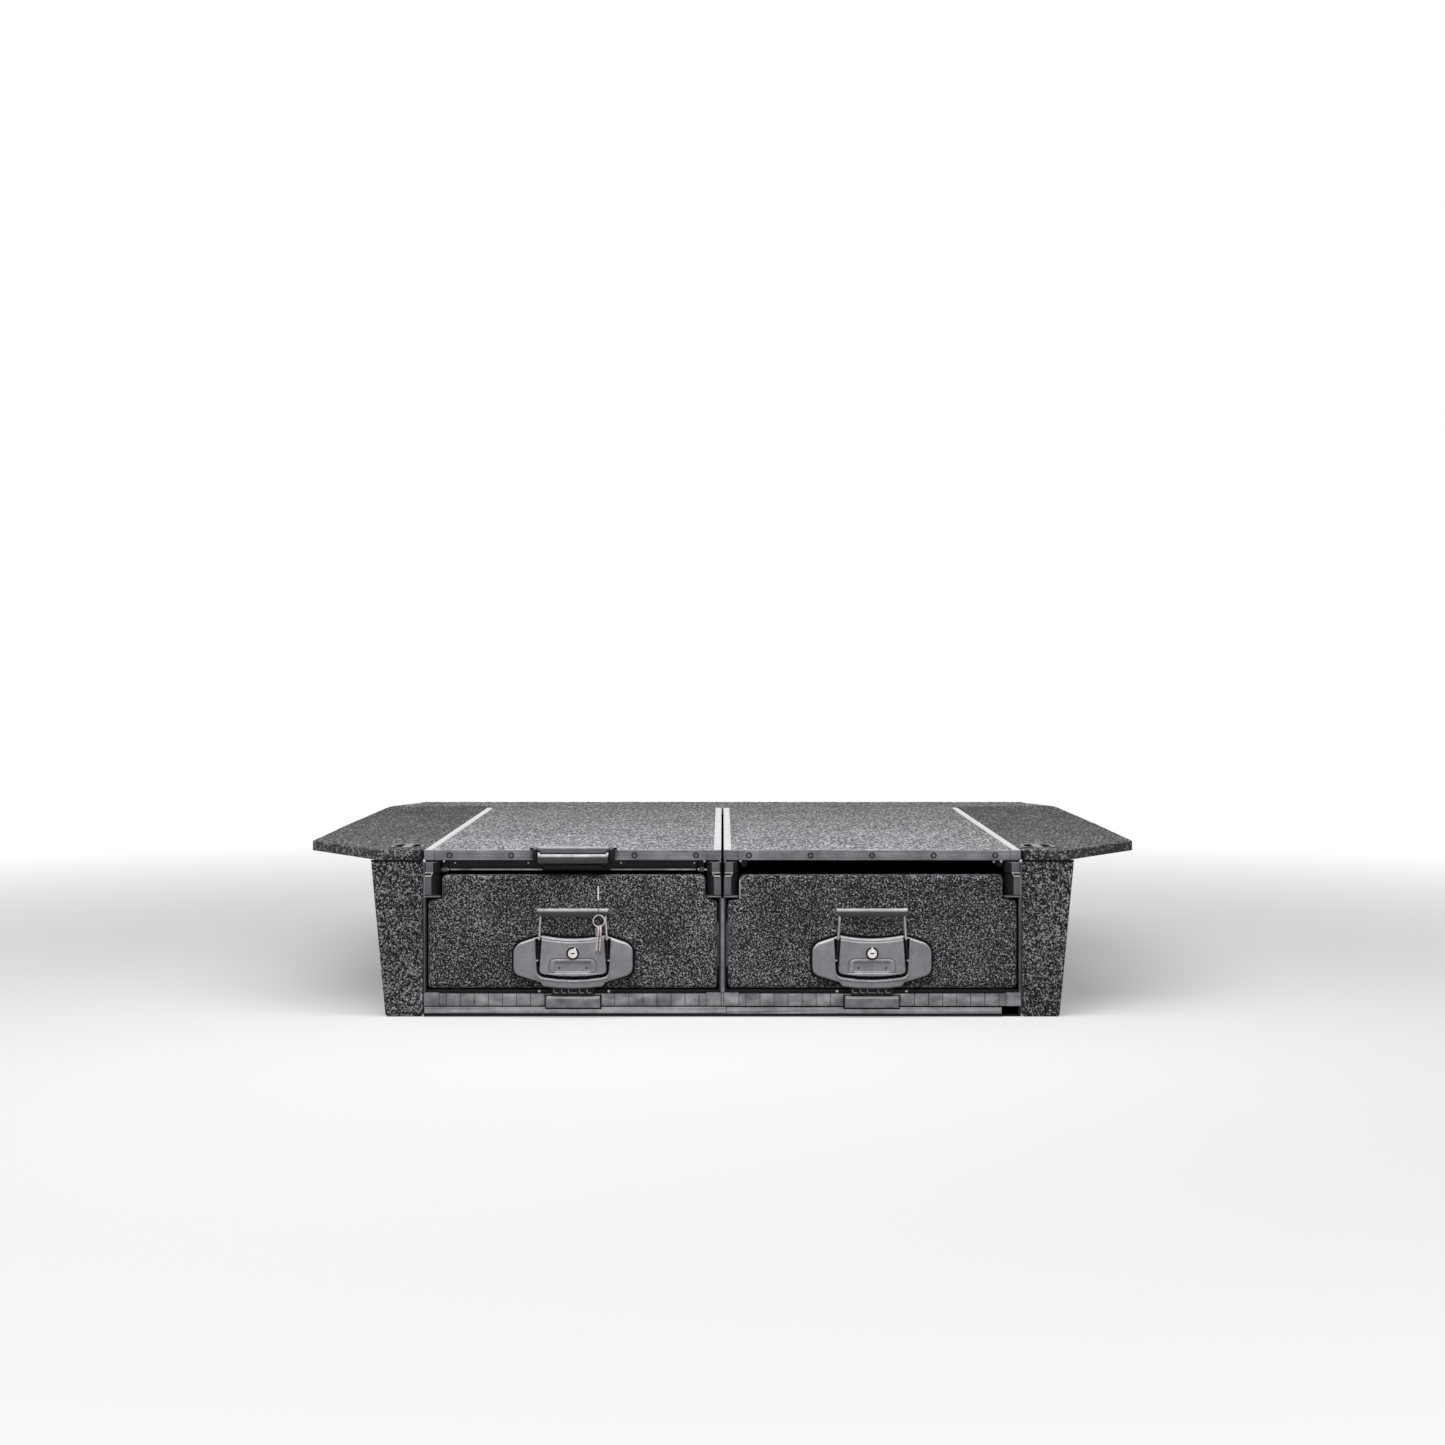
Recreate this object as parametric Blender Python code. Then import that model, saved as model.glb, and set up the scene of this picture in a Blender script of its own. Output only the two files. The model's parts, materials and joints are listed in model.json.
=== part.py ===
"""Twin drawer system for a ute tub: two drawers, a pull-out roller deck, a fixed deck and side wings.

Metres, +Z up, fronts towards -Y, X to the right, floor at Z = 0.
Depths are measured from the front plane of the deck trims, positive towards the rear.
"""

import math

import bmesh
import bpy
from mathutils import Euler, Matrix, Vector

# Clearances
TOUCH = 0.0003          # gap between faces that bear on each other
SLIDE = 0.0005          # running gap inside the drawer runners
SHADOW_GAP = 0.002      # gap left round panels that are set side by side
OVERRUN = 0.006         # how far a cutter passes the face it cuts

# The two modules
MODULE_WIDTH = 0.508
MODULE_GAP = 0.004
MODULE_DEPTH = 1.300
DECK_TOP = 0.2846
DECK_BOARD = 0.015
DECK_OVERHANG = 0.017
SIDE_WALL = 0.0045
BASE_SHEET = 0.003
BACK_SHEET = 0.003
BACK_LEDGE_SET = 0.030

# Deck trims and side rails
TRIM_HEIGHT = 0.0175
TRIM_DEPTH = 0.006
TRIM_NOTCH = 0.004
TRIM_END_OUTER = 0.018
TRIM_END_INNER = 0.024
TRIM_GROOVE = 0.0006
RAIL_FACE = 0.013
RAIL_LEDGE = 0.040
RAIL_LEDGE_THICK = 0.005
RAIL_SHORT = 0.040
RAIL_LEG = 0.010
RAIL_LEG_DROP = 0.0088

# Corner caps and deck rollers
CAP_WIDTH = 0.028
CAP_BOTTOM = 0.203
CAP_DEPTH = 0.035
CAP_PROUD = 0.003
CAP_STEP = 0.0015
CAP_STEP_HEIGHT = 0.0425
CAP_FLAT_UPPER = 0.0165
CAP_FLAT_LOWER = 0.0135
CAP_LIP = 0.003
CAP_LIP_WIDER = 0.0015
ROLLER_RADIUS = 0.0055
ROLLER_WIDTH = 0.009
ROLLER_DEPTH = 0.022
AXLE_RADIUS = 0.0025
AXLE_GRIP = 0.005

# Sill
LIP_BOTTOM = 0.002
LIP_TOP = 0.0165
LIP_PROUD = 0.0045
LIP_FOOT = 0.008
LIP_SHORT = 0.033        # the lip stops this far before the right side
BAND_BOTTOM = 0.018
BAND_TOP = 0.0395
BAND_PROUD = 0.002
BAND_DEPTH = 0.012
BAND_END = 0.025
BAND_PITCH = 0.024
BAND_GROOVE_WIDTH = 0.0008
BAND_GROOVE_DEPTH = 0.001
CATCH_WIDTH = 0.092
CATCH_BOTTOM = 0.0168
CATCH_TOP = 0.0365
CATCH_DEPTH = 0.012
CATCH_CHAMFER = 0.004

# Wings, fascias and rear infill
WING_BOARD = 0.017
WING_GAP = 0.002
WING_WIDTH = 0.225
WING_FRONT_WIDTH = 0.081
WING_SHOULDER = 0.230
WING_REAR_WIDTH = 0.218
WING_TAPER_START = 0.700
WING_OVERHANG = 0.002
FASCIA_TOP_WIDTH = 0.089
FASCIA_BOTTOM_WIDTH = 0.064
FASCIA_THICK = 0.016
FLANGE_REACH = 0.030
FLANGE_THICK = 0.006
FLANGE_START = 0.200
INFILL_GAP = 0.0015
INFILL_DEPTH = 0.1695
INFILL_REAR_WIDTH = 0.166
INFILL_END = 0.035

# Tie-down cups
CUP_WIDTH = 0.050
CUP_LENGTH = 0.088
CUP_SET = 0.038
CUP_DEPTH = 0.090
CUP_DROP = 0.026
CUP_WALL = 0.0025
CUP_RIM = 0.003
CUP_RIM_THICK = 0.0012
CUP_BAR = 0.016
CUP_BAR_THICK = 0.008
CUP_BAR_BELOW = 0.004

# Drawers
FRONT_BOTTOM = 0.048
FRONT_TOP = 0.242
FRONT_SET = 0.001
FRONT_THICK = 0.016
FRONT_SIDE_GAP = 0.002
CAP_CLEAR = 0.003
TRAY_BOTTOM = 0.0525
TRAY_TOP = 0.199
TRAY_SHORT = 0.065
TRAY_WALL = 0.009
RUNNER_HEIGHT = 0.076
RUNNER_SHEET = 0.0022
RUNNER_OUTER_DEPTH = 0.015
RUNNER_MIDDLE_DEPTH = 0.017
RUNNER_SPACE = 0.0196
RUNNER_MID_HEIGHT = 0.120
RUNNER_START = 0.040
RUNNER_SHORT = 0.060

# Drawer handle, measured from its own centre line
HANDLE_SHIFT = 0.0015    # nearer the middle of the unit than the middle of its drawer
HANDLE_PROUD = 0.025
HANDLE_EDGE = 0.0025
HANDLE_TOP = 0.1388
HANDLE_DISH = 0.0054
PLATE_TOP_HALF = 0.0523
PLATE_SIDE_HALF = 0.0572
PLATE_SIDE_Z = 0.079
PLATE_CORNER_Z = 0.074
PLATE_CORNER_HALF = 0.049
PLATE_BOTTOM_Z = 0.0705
GROOVE_TOP_HALF = 0.0653
GROOVE_SIDE_HALF = 0.0612
GROOVE_SIDE_Z = 0.076
GROOVE_CORNER_HALF = 0.050
GROOVE_CORNER_Z = 0.0690
GROOVE_BOTTOM_Z = 0.0645
WING_TOP_Z = 0.1351
WING_CORNER_HALF = 0.0923
WING_CORNER_Z = 0.1251
WING_SIDE_HALF = 0.1012
WING_SIDE_TOP_Z = 0.1165
WING_SIDE_LOW_Z = 0.0794
WING_LOW_HALF = 0.0931
WING_LOW_Z = 0.0726
CHIN_HALF = 0.0550
CHIN_Z = 0.0608
CHIN_FOOT_HALF = 0.0500
CHIN_FOOT_Z = 0.0540
CHIN_BOTTOM_Z = 0.0507
SLOT_FLOOR = 0.0125
LABEL_HALF = 0.040
LABEL_TOP = 0.0997
LABEL_BOTTOM = 0.0775
LABEL_CORNER = 0.007
LABEL_SUNK = 0.0008
LABEL_INNER_HALF = 0.0304
LABEL_INNER_TOP = 0.0956
LABEL_INNER_BOTTOM = 0.0790

# Lock barrel
LOCK_Z = 0.1106
LOCK_RADIUS = 0.009
LOCK_PROUD = 0.003
LOCK_LENGTH = 0.018
KEYWAY_WIDTH = 0.0015
KEYWAY_HEIGHT = 0.007
KEYWAY_DEPTH = 0.005

# Latch tongue
TONGUE_HALF = 0.0365
TONGUE_BOTTOM = 0.0385
TONGUE_TOP = 0.060
TONGUE_BACK = 0.0028
TONGUE_THICK = 0.0115
TONGUE_TRAVEL = 0.008
TONGUE_SLOT_Z = (0.0428, 0.0484)
TONGUE_SLOT_DEPTH = 0.0018
TONGUE_SLOTS = ((-0.0282, 0.0068), (-0.0150, 0.0068), (0.0, 0.0135), (0.0150, 0.0068), (0.0282, 0.0068))

# Bail and grip
BAIL_PIVOT_Z = 0.098
BAIL_PLANE = 0.019
BAIL_WIRE = 0.0024
BAIL_FOOT_HALF = 0.0595
BAIL_TOP_HALF = 0.0550
BAIL_PIN = 0.0060
BAIL_BEND = 0.0045
GRIP_Z = 0.179
GRIP_RADIUS = 0.0073
GRIP_HALF = 0.0612
GRIP_SLOT = 0.0075

# Key set
KEY_X = 0.0446
RING_RADIUS = 0.0097
RING_WIRE = 0.0009
RING_Z = 0.1663
RING_FRONT = 0.0305
KEY_BOW = 0.010
KEY_THICK = 0.002
KEY_EYE = 0.0025
KEY_EYE_DROP = 0.0072
KEY_BLADE_WIDTH = 0.0075
KEY_LENGTH = 0.045
KEY_SPREAD = 0.0022
TIE_WIRE = 0.0006
TIE_HALF_DEPTH = 0.0113
TIE_HALF_HEIGHT = 0.0098
TIE_FRONT = 0.0030
TIE_TAIL_TOP = 0.2245
TIE_TURN_WIDTH = 0.0030

# Roller deck beam and its pull handle
BEAM_INSET = 0.042
BEAM_FRONT = 0.0065
BEAM_DEPTH = 0.020
BEAM_DROP = 0.028
BEAM_LIP_DROP = 0.0075
BEAM_LIP_DEPTH = 0.006
BEAM_LIP_SET = 0.006
PULL_HALF = 0.0732
PULL_TOP = 0.2905
PULL_HOOD = 0.007
PULL_HOOD_HALF = 0.0553
PULL_REACH = 0.0155
PULL_BACK = 0.0037
PULL_PLATE = 0.0047
PULL_CHEEK = 0.0123
PULL_CHEEK_BOTTOM = 0.2650
PULL_FOOT_HALF = 0.056
PULL_FOOT = 0.006
PULL_FOOT_BOTTOM = 0.2535
PULL_LIP = 0.0055
PULL_LIP_REACH = 0.006
PADDLE_HALF = 0.0604
PADDLE_BOTTOM = 0.2635
PADDLE_TOP = 0.2790
PADDLE_BACK = 0.0165
PADDLE_DEPTH = 0.0125
PADDLE_ROUND = 0.005
PADDLE_ARM = 0.0044
PADDLE_PIVOT_Z = 0.2785
PADDLE_PIVOT = 0.0075
PADDLE_ARM_HALF = 0.0035
PADDLE_PIN = 0.0018
PADDLE_PIN_LENGTH = 0.0035

# Facets of round pieces
ROUND_SIDES = 32
SMALL_SIDES = 16
SMOOTH_BELOW = math.radians(35)
FLAT_WITHIN = math.radians(1)
CORNER_ABOVE = math.radians(45)
ROUND_PROFILE_SHARE = 0.5
TIE_STEPS = 24
ARC_STEPS = 5

# Lengths that follow from the module's
DECK_LENGTH = MODULE_DEPTH + DECK_OVERHANG
RAIL_LENGTH = MODULE_DEPTH - RAIL_SHORT
WING_LENGTH = DECK_LENGTH + WING_OVERHANG
INFILL_START = WING_LENGTH + INFILL_GAP
SYSTEM_DEPTH = INFILL_START + INFILL_DEPTH
INFILL_CORNER = SYSTEM_DEPTH - INFILL_END
BACK_LEDGE = SYSTEM_DEPTH - MODULE_DEPTH - BACK_LEDGE_SET
TRAY_LENGTH = MODULE_DEPTH - TRAY_SHORT
RUNNER_LENGTH = MODULE_DEPTH - RUNNER_START - RUNNER_SHORT

# Widths that follow from the module's, from the unit's middle
NEAR = MODULE_GAP / 2
FAR = NEAR + MODULE_WIDTH
HANDLE_X = NEAR + MODULE_WIDTH / 2 - HANDLE_SHIFT
CUP_X = FAR + CUP_SET
WING_REACH = FAR + WING_WIDTH
WING_FRONT_X = FAR + WING_FRONT_WIDTH
WING_REAR_X = FAR + WING_REAR_WIDTH
INFILL_REAR_X = FAR + INFILL_REAR_WIDTH
LIP_SPAN = (-FAR, FAR - LIP_SHORT)

# The foremost point is the front of a key bow, so the box is centred on Y = 0
KEY_REACH = RING_FRONT + KEY_BOW
FRONT = (KEY_REACH - SYSTEM_DEPTH) / 2

# Heights that follow from the deck and its rails
DECK_UNDER = DECK_TOP - DECK_BOARD
LEDGE_TOP = DECK_UNDER - TOUCH
LEDGE_UNDER = LEDGE_TOP - RAIL_LEDGE_THICK
LEG_BOTTOM = LEDGE_UNDER - RAIL_LEG_DROP
SIDE_TOP = LEDGE_UNDER - TOUCH
TRIM_BOTTOM = DECK_TOP - TRIM_HEIGHT
BOARD_START = TRIM_DEPTH + TOUCH
WING_UNDER = DECK_TOP - WING_BOARD
BEARER_TOP = WING_UNDER - TOUCH
BASE_TOP = BASE_SHEET + TOUCH
FRONT_BACK = FRONT_SET + FRONT_THICK
TRAY_START = FRONT_BACK + TOUCH

FINISHES = {
    # finish: (linear colour, roughness, metallic)
    "carpet": ((0.030, 0.031, 0.034), 0.95, 0.0),
    "deck_carpet": ((0.130, 0.131, 0.135), 0.95, 0.0),
    "satin_aluminium": ((0.300, 0.302, 0.308), 0.42, 0.9),
    "bright_aluminium": ((0.780, 0.785, 0.790), 0.30, 1.0),
    "black_steel": ((0.018, 0.018, 0.020), 0.50, 0.3),
    "zinc_steel": ((0.420, 0.430, 0.450), 0.38, 0.9),
    "black_plastic": ((0.014, 0.014, 0.016), 0.45, 0.0),
    "grey_plastic": ((0.095, 0.096, 0.102), 0.48, 0.0),
    "chrome": ((0.780, 0.780, 0.790), 0.10, 1.0),
    "nickel": ((0.620, 0.590, 0.550), 0.22, 1.0),
    "tie_wire": ((0.750, 0.750, 0.740), 0.30, 0.9),
}


def clear_scene():
    for obj in list(bpy.data.objects):
        bpy.data.objects.remove(obj)


def new_collection(name, hidden):
    collection = bpy.data.collections.new(name)
    bpy.context.scene.collection.children.link(collection)
    collection.hide_render = hidden
    return collection


def principled(name, colour, roughness, metallic):
    material = bpy.data.materials.new(name)
    material.use_nodes = True
    shader = material.node_tree.nodes["Principled BSDF"]
    shader.inputs["Base Color"].default_value = (*colour, 1)
    shader.inputs["Roughness"].default_value = roughness
    shader.inputs["Metallic"].default_value = metallic
    return material


clear_scene()
PARTS = new_collection("ute_drawer_system", hidden=False)
CUTTERS = new_collection("cutters", hidden=True)


def depth(distance):
    """World Y of a depth behind the front plane."""
    return FRONT + distance


def add_object(name, mesh, finish):
    """An object round its own centre; with no finish it is a cutter."""
    corners = [vertex.co for vertex in mesh.vertices]
    low = Vector([min(c[axis] for c in corners) for axis in range(3)])
    high = Vector([max(c[axis] for c in corners) for axis in range(3)])
    centre = (low + high) / 2
    mesh.transform(Matrix.Translation(-centre))
    obj = bpy.data.objects.new(name, mesh)
    obj.location = centre
    if finish is None:
        obj.hide_render = True
        obj.display_type = "WIRE"
        CUTTERS.objects.link(obj)
    else:
        mesh.materials.append(principled(name, *FINISHES[finish]))
        PARTS.objects.link(obj)
    return obj


def mesh_from(bm, name):
    bmesh.ops.recalc_face_normals(bm, faces=bm.faces)
    mesh = bpy.data.meshes.new(name)
    bm.to_mesh(mesh)
    bm.free()
    return mesh


def box(name, x, y, z, finish=None):
    """A box between two X, two Y and two Z values, given in either order."""
    bm = bmesh.new()
    size = [abs(span[1] - span[0]) for span in (x, y, z)]
    centre = [(span[0] + span[1]) / 2 for span in (x, y, z)]
    matrix = Matrix.Translation(centre) @ Matrix.Diagonal((*size, 1))
    bmesh.ops.create_cube(bm, size=1, matrix=matrix)
    return add_object(name, mesh_from(bm, name), finish)


def rod(name, centre, radius, length, axis, finish=None, sides=ROUND_SIDES):
    """A cylinder centred on a point, lying along X, Y or Z."""
    turn = {"X": Euler((0, math.pi / 2, 0)), "Y": Euler((math.pi / 2, 0, 0)), "Z": Euler((0, 0, 0))}[axis]
    bm = bmesh.new()
    bmesh.ops.create_cone(
        bm, cap_ends=True, segments=sides, radius1=radius, radius2=radius, depth=length,
        matrix=Matrix.Translation(centre) @ turn.to_matrix().to_4x4(),
    )
    obj = add_object(name, mesh_from(bm, name), finish)
    smooth(obj)
    return obj


def smooth(obj):
    obj.data.shade_smooth()
    obj.data.set_sharp_from_angle(angle=SMOOTH_BELOW)


def baked(obj, name, finish):
    """A curve object made into a welded mesh object in its place."""
    bpy.context.view_layer.update()
    evaluated = obj.evaluated_get(bpy.context.evaluated_depsgraph_get())
    mesh = bpy.data.meshes.new_from_object(evaluated)
    mesh.transform(obj.matrix_world)
    mesh.materials.clear()
    bm = bmesh.new()
    bm.from_mesh(mesh)
    bmesh.ops.remove_doubles(bm, verts=bm.verts, dist=0.1 * TOUCH)
    bpy.data.objects.remove(obj)
    bpy.data.meshes.remove(mesh)
    return add_object(name, mesh_from(bm, name), finish)


def prism(name, outline, axis, span, finish=None):
    """A flat outline given thickness along one axis, between two values on it.

    The outline is in (x, y) for Z, in (x, z) for Y, and in (y, z) for X.
    """
    curve = bpy.data.curves.new(name, "CURVE")
    curve.dimensions = "2D"
    curve.fill_mode = "BOTH"
    curve.extrude = abs(span[1] - span[0]) / 2
    spline = curve.splines.new("POLY")
    spline.points.add(len(outline) - 1)
    for point, (u, v) in zip(spline.points, outline):
        point.co = (u, v, 0, 1)
    spline.use_cyclic_u = True
    obj = bpy.data.objects.new(name, curve)
    quarter = math.pi / 2
    obj.rotation_euler = {"Z": (0, 0, 0), "Y": (quarter, 0, 0), "X": (quarter, 0, quarter)}[axis]
    middle = (span[0] + span[1]) / 2
    obj.location = {"Z": (0, 0, middle), "Y": (0, middle, 0), "X": (middle, 0, 0)}[axis]
    CUTTERS.objects.link(obj)
    return baked(obj, name, finish)


def wire(name, points, radius, finish, closed=False):
    """A round wire along a list of points."""
    curve = bpy.data.curves.new(name, "CURVE")
    curve.dimensions = "3D"
    curve.bevel_depth = radius
    curve.bevel_resolution = 2
    curve.use_fill_caps = True
    spline = curve.splines.new("POLY")
    spline.points.add(len(points) - 1)
    for point, place in zip(spline.points, points):
        point.co = (*place, 1)
    spline.use_cyclic_u = closed
    obj = bpy.data.objects.new(name, curve)
    CUTTERS.objects.link(obj)
    made = baked(obj, name, finish)
    smooth(made)
    return made


def boolean(target, operation, tools):
    for tool in tools:
        tool.name = f"{target.name}_{operation.lower()}_{len(target.modifiers)}"
        modifier = target.modifiers.new(tool.name, "BOOLEAN")
        modifier.object = tool
        modifier.operation = operation
        modifier.solver = "EXACT"
    return target


def cut(target, *tools):
    return boolean(target, "DIFFERENCE", tools)


def join(target, *tools):
    return boolean(target, "UNION", tools)


def filleted(points, radii):
    """A closed outline with arcs for corners, each tangent at radius / tan(half the corner)."""
    outline = []
    count = len(points)
    for index, radius in enumerate(radii):
        corner = Vector(points[index])
        back = (Vector(points[index - 1]) - corner).normalized()
        ahead = (Vector(points[(index + 1) % count]) - corner).normalized()
        if radius == 0:
            outline.append(tuple(corner))
            continue
        half = back.angle(ahead) / 2
        centre = corner + (back + ahead).normalized() * radius / math.sin(half)
        first = corner + back * radius / math.tan(half) - centre
        last = corner + ahead * radius / math.tan(half) - centre
        turn = first.angle_signed(last)
        for step in range(ARC_STEPS + 1):
            # a positive signed angle in mathutils is clockwise, so the turn is taken the other way
            angle = -turn * step / ARC_STEPS
            c, s = math.cos(angle), math.sin(angle)
            outline.append((centre.x + first.x * c - first.y * s, centre.y + first.x * s + first.y * c))
    return outline


def stadium(centre, width, length):
    """An oblong with half-round ends, its length along the second axis."""
    u, v = centre
    r = width / 2
    straight = length / 2 - r
    steps = 2 * ARC_STEPS
    top = [(u + r * math.cos(math.pi * k / steps), v + straight + r * math.sin(math.pi * k / steps))
           for k in range(steps + 1)]
    low = [(u - r * math.cos(math.pi * k / steps), v - straight - r * math.sin(math.pi * k / steps))
           for k in range(steps + 1)]
    return top + low


class Edge:
    """One long edge of a module: where it is in X, and which way leads to the module's middle."""

    def __init__(self, name, x, inward):
        self.name = name
        self.x = x
        self.inward = inward

    def at(self, offset):
        return self.x + self.inward * offset


LEFT_OUTER = Edge("left_outer", -FAR, 1)
LEFT_INNER = Edge("left_inner", -NEAR, -1)
RIGHT_INNER = Edge("right_inner", NEAR, 1)
RIGHT_OUTER = Edge("right_outer", FAR, -1)
MODULES = {"left": (LEFT_OUTER, LEFT_INNER), "right": (RIGHT_INNER, RIGHT_OUTER)}
OUTER_EDGES = {"left": LEFT_OUTER, "right": RIGHT_OUTER}
SIGNS = {"left": -1, "right": 1}


def side_panel(edge):
    """Module side: a steel sheet, cut away at the top front corner for the corner cap."""
    notch = CAP_DEPTH + TOUCH
    under_cap = CAP_BOTTOM - TOUCH
    outline = [
        (depth(0), BASE_TOP),
        (depth(MODULE_DEPTH), BASE_TOP),
        (depth(MODULE_DEPTH), SIDE_TOP),
        (depth(notch), SIDE_TOP),
        (depth(notch), under_cap),
        (depth(0), under_cap),
    ]
    panel = prism(f"{edge.name}_side", outline, "X", (edge.at(0), edge.at(SIDE_WALL)), "black_steel")
    if edge in OUTER_EDGES.values():
        # the folded bearer that carries the wing, stepped up beside the rail
        low = BEARER_TOP - FLANGE_THICK
        step = SHADOW_GAP / 2
        bearer = [
            (edge.at(SIDE_WALL / 2), low),
            (edge.at(SIDE_WALL / 2), SIDE_TOP),
            (edge.at(-step), SIDE_TOP),
            (edge.at(-step), BEARER_TOP),
            (edge.at(-FLANGE_REACH), BEARER_TOP),
            (edge.at(-FLANGE_REACH), low),
        ]
        span = (depth(FLANGE_START), depth(MODULE_DEPTH))
        join(panel, prism("bearer", bearer, "Y", span))
    return panel


def base_plate():
    """The sheet that stands on the tub floor, with the front lip that shows under the sill."""
    plate = box("base_plate", (-FAR, FAR), (depth(LIP_FOOT / 2), depth(MODULE_DEPTH)), (0, BASE_SHEET),
                "black_steel")
    lip = box("lip", LIP_SPAN, (depth(-LIP_PROUD), depth(LIP_FOOT)), (LIP_BOTTOM, LIP_TOP))
    back_edge = box("lip_back", (LIP_SPAN[0] - OVERRUN, LIP_SPAN[1] + OVERRUN),
                    (depth(0), depth(LIP_FOOT + OVERRUN)), (BASE_TOP, LIP_TOP + OVERRUN))
    join(plate, lip)
    cut(plate, back_edge)
    return plate


def back_panel():
    """One sheet behind both modules, folded back at the top to carry the rear infill."""
    front = MODULE_DEPTH + TOUCH
    outline = [
        (depth(front), 0),
        (depth(front + BACK_SHEET), 0),
        (depth(front + BACK_SHEET), BEARER_TOP - BACK_SHEET),
        (depth(front + BACK_LEDGE), BEARER_TOP - BACK_SHEET),
        (depth(front + BACK_LEDGE), BEARER_TOP),
        (depth(front), BEARER_TOP),
    ]
    return prism("back_panel", outline, "X", (-FAR, FAR), "black_steel")


def rail(edge):
    """Deck side rail: a bright face, a ledge under the board and a leg that runs on the roller."""
    outline = [
        (edge.at(0), DECK_TOP),
        (edge.at(RAIL_FACE), DECK_TOP),
        (edge.at(RAIL_FACE), LEDGE_TOP),
        (edge.at(RAIL_LEDGE), LEDGE_TOP),
        (edge.at(RAIL_LEDGE), LEG_BOTTOM),
        (edge.at(RAIL_LEDGE - RAIL_LEG), LEG_BOTTOM),
        (edge.at(RAIL_LEDGE - RAIL_LEG), LEDGE_UNDER),
        (edge.at(0), LEDGE_UNDER),
    ]
    span = (depth(BOARD_START), depth(RAIL_LENGTH))
    return prism(f"{edge.name}_rail", outline, "Y", span, "bright_aluminium")


def deck_board(side):
    """Deck panel between the rails, widened behind their ends to close the deck to its seam."""
    first, second = MODULES[side]
    inset = RAIL_FACE + TOUCH
    behind = RAIL_LENGTH + TOUCH
    outline = [
        (first.at(inset), depth(BOARD_START)),
        (second.at(inset), depth(BOARD_START)),
        (second.at(inset), depth(behind)),
        (second.at(TOUCH), depth(behind)),
        (second.at(TOUCH), depth(DECK_LENGTH)),
        (first.at(TOUCH), depth(DECK_LENGTH)),
        (first.at(TOUCH), depth(behind)),
        (first.at(inset), depth(behind)),
    ]
    name = {"left": "roller_deck_board", "right": "fixed_deck_board"}[side]
    return prism(name, outline, "Z", (DECK_UNDER, DECK_TOP), "deck_carpet")


def deck_trim(side):
    """Front trim with a fine joint line near each end; the roller deck's is notched for its pull."""
    first, second = MODULES[side]
    name = {"left": "roller_deck_trim", "right": "fixed_deck_trim"}[side]
    trim = box(name, (first.at(0), second.at(0)), (depth(0), depth(TRIM_DEPTH)), (TRIM_BOTTOM, DECK_TOP),
               "satin_aluminium")
    for edge in (first, second):
        end = TRIM_END_OUTER if edge in OUTER_EDGES.values() else TRIM_END_INNER
        cut(trim, box("joint_line", (edge.at(end), edge.at(end + TRIM_GROOVE)),
                      (depth(-OVERRUN), depth(TRIM_GROOVE)), (TRIM_BOTTOM - OVERRUN, DECK_TOP + OVERRUN)))
    if side == "left":
        half = PULL_HALF + TOUCH
        cut(trim, box("pull_notch", (-HANDLE_X - half, -HANDLE_X + half),
                      (depth(-OVERRUN), depth(TRIM_NOTCH)), (TRIM_BOTTOM - OVERRUN, DECK_TOP + OVERRUN)))
    return trim


def cap_outline(edge, width, flat, proud):
    """Plan of a corner cap: a flat face, then a 45 degree chamfer back to its inner side."""
    return [
        (edge.at(0), depth(-proud)),
        (edge.at(flat), depth(-proud)),
        (edge.at(width), depth(width - flat - proud)),
        (edge.at(width), depth(CAP_DEPTH)),
        (edge.at(0), depth(CAP_DEPTH)),
    ]


def corner_cap(edge):
    step_z = CAP_BOTTOM + CAP_STEP_HEIGHT
    upper = cap_outline(edge, CAP_WIDTH, CAP_FLAT_UPPER, CAP_PROUD)
    lower = cap_outline(edge, CAP_WIDTH, CAP_FLAT_LOWER, CAP_PROUD - CAP_STEP)
    lip = cap_outline(edge, CAP_WIDTH + CAP_LIP_WIDER, CAP_FLAT_UPPER, CAP_PROUD)
    cap = prism(f"{edge.name}_corner_cap", lower, "Z", (CAP_BOTTOM, SIDE_TOP), "black_plastic")
    join(cap, prism("upper", upper, "Z", (step_z, SIDE_TOP)))
    join(cap, prism("lip", lip, "Z", (CAP_BOTTOM, CAP_BOTTOM + CAP_LIP)))
    if edge in MODULES["left"]:
        hole = AXLE_RADIUS + TOUCH
        span = AXLE_GRIP + TOUCH + OVERRUN
        centre = (edge.at(CAP_WIDTH + OVERRUN - span / 2), depth(ROLLER_DEPTH), roller_height())
        cut(cap, rod("axle_hole", centre, hole, span, "X", sides=SMALL_SIDES))
    return cap


def roller_height():
    return LEG_BOTTOM - TOUCH - ROLLER_RADIUS


def deck_roller(edge):
    """Front roller under a rail leg, on a stub axle held in the corner cap."""
    y, z = depth(ROLLER_DEPTH), roller_height()
    start = CAP_WIDTH + CAP_LIP_WIDER
    wheel = rod(f"{edge.name}_deck_roller", (edge.at(start + ROLLER_WIDTH / 2), y, z), ROLLER_RADIUS,
                ROLLER_WIDTH, "X", "black_plastic")
    axle_in, axle_out = CAP_WIDTH - AXLE_GRIP, start + ROLLER_WIDTH / 2
    axle = rod("axle", (edge.at((axle_in + axle_out) / 2), y, z), AXLE_RADIUS, axle_out - axle_in, "X",
               sides=SMALL_SIDES)
    join(wheel, axle)
    return wheel


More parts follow.
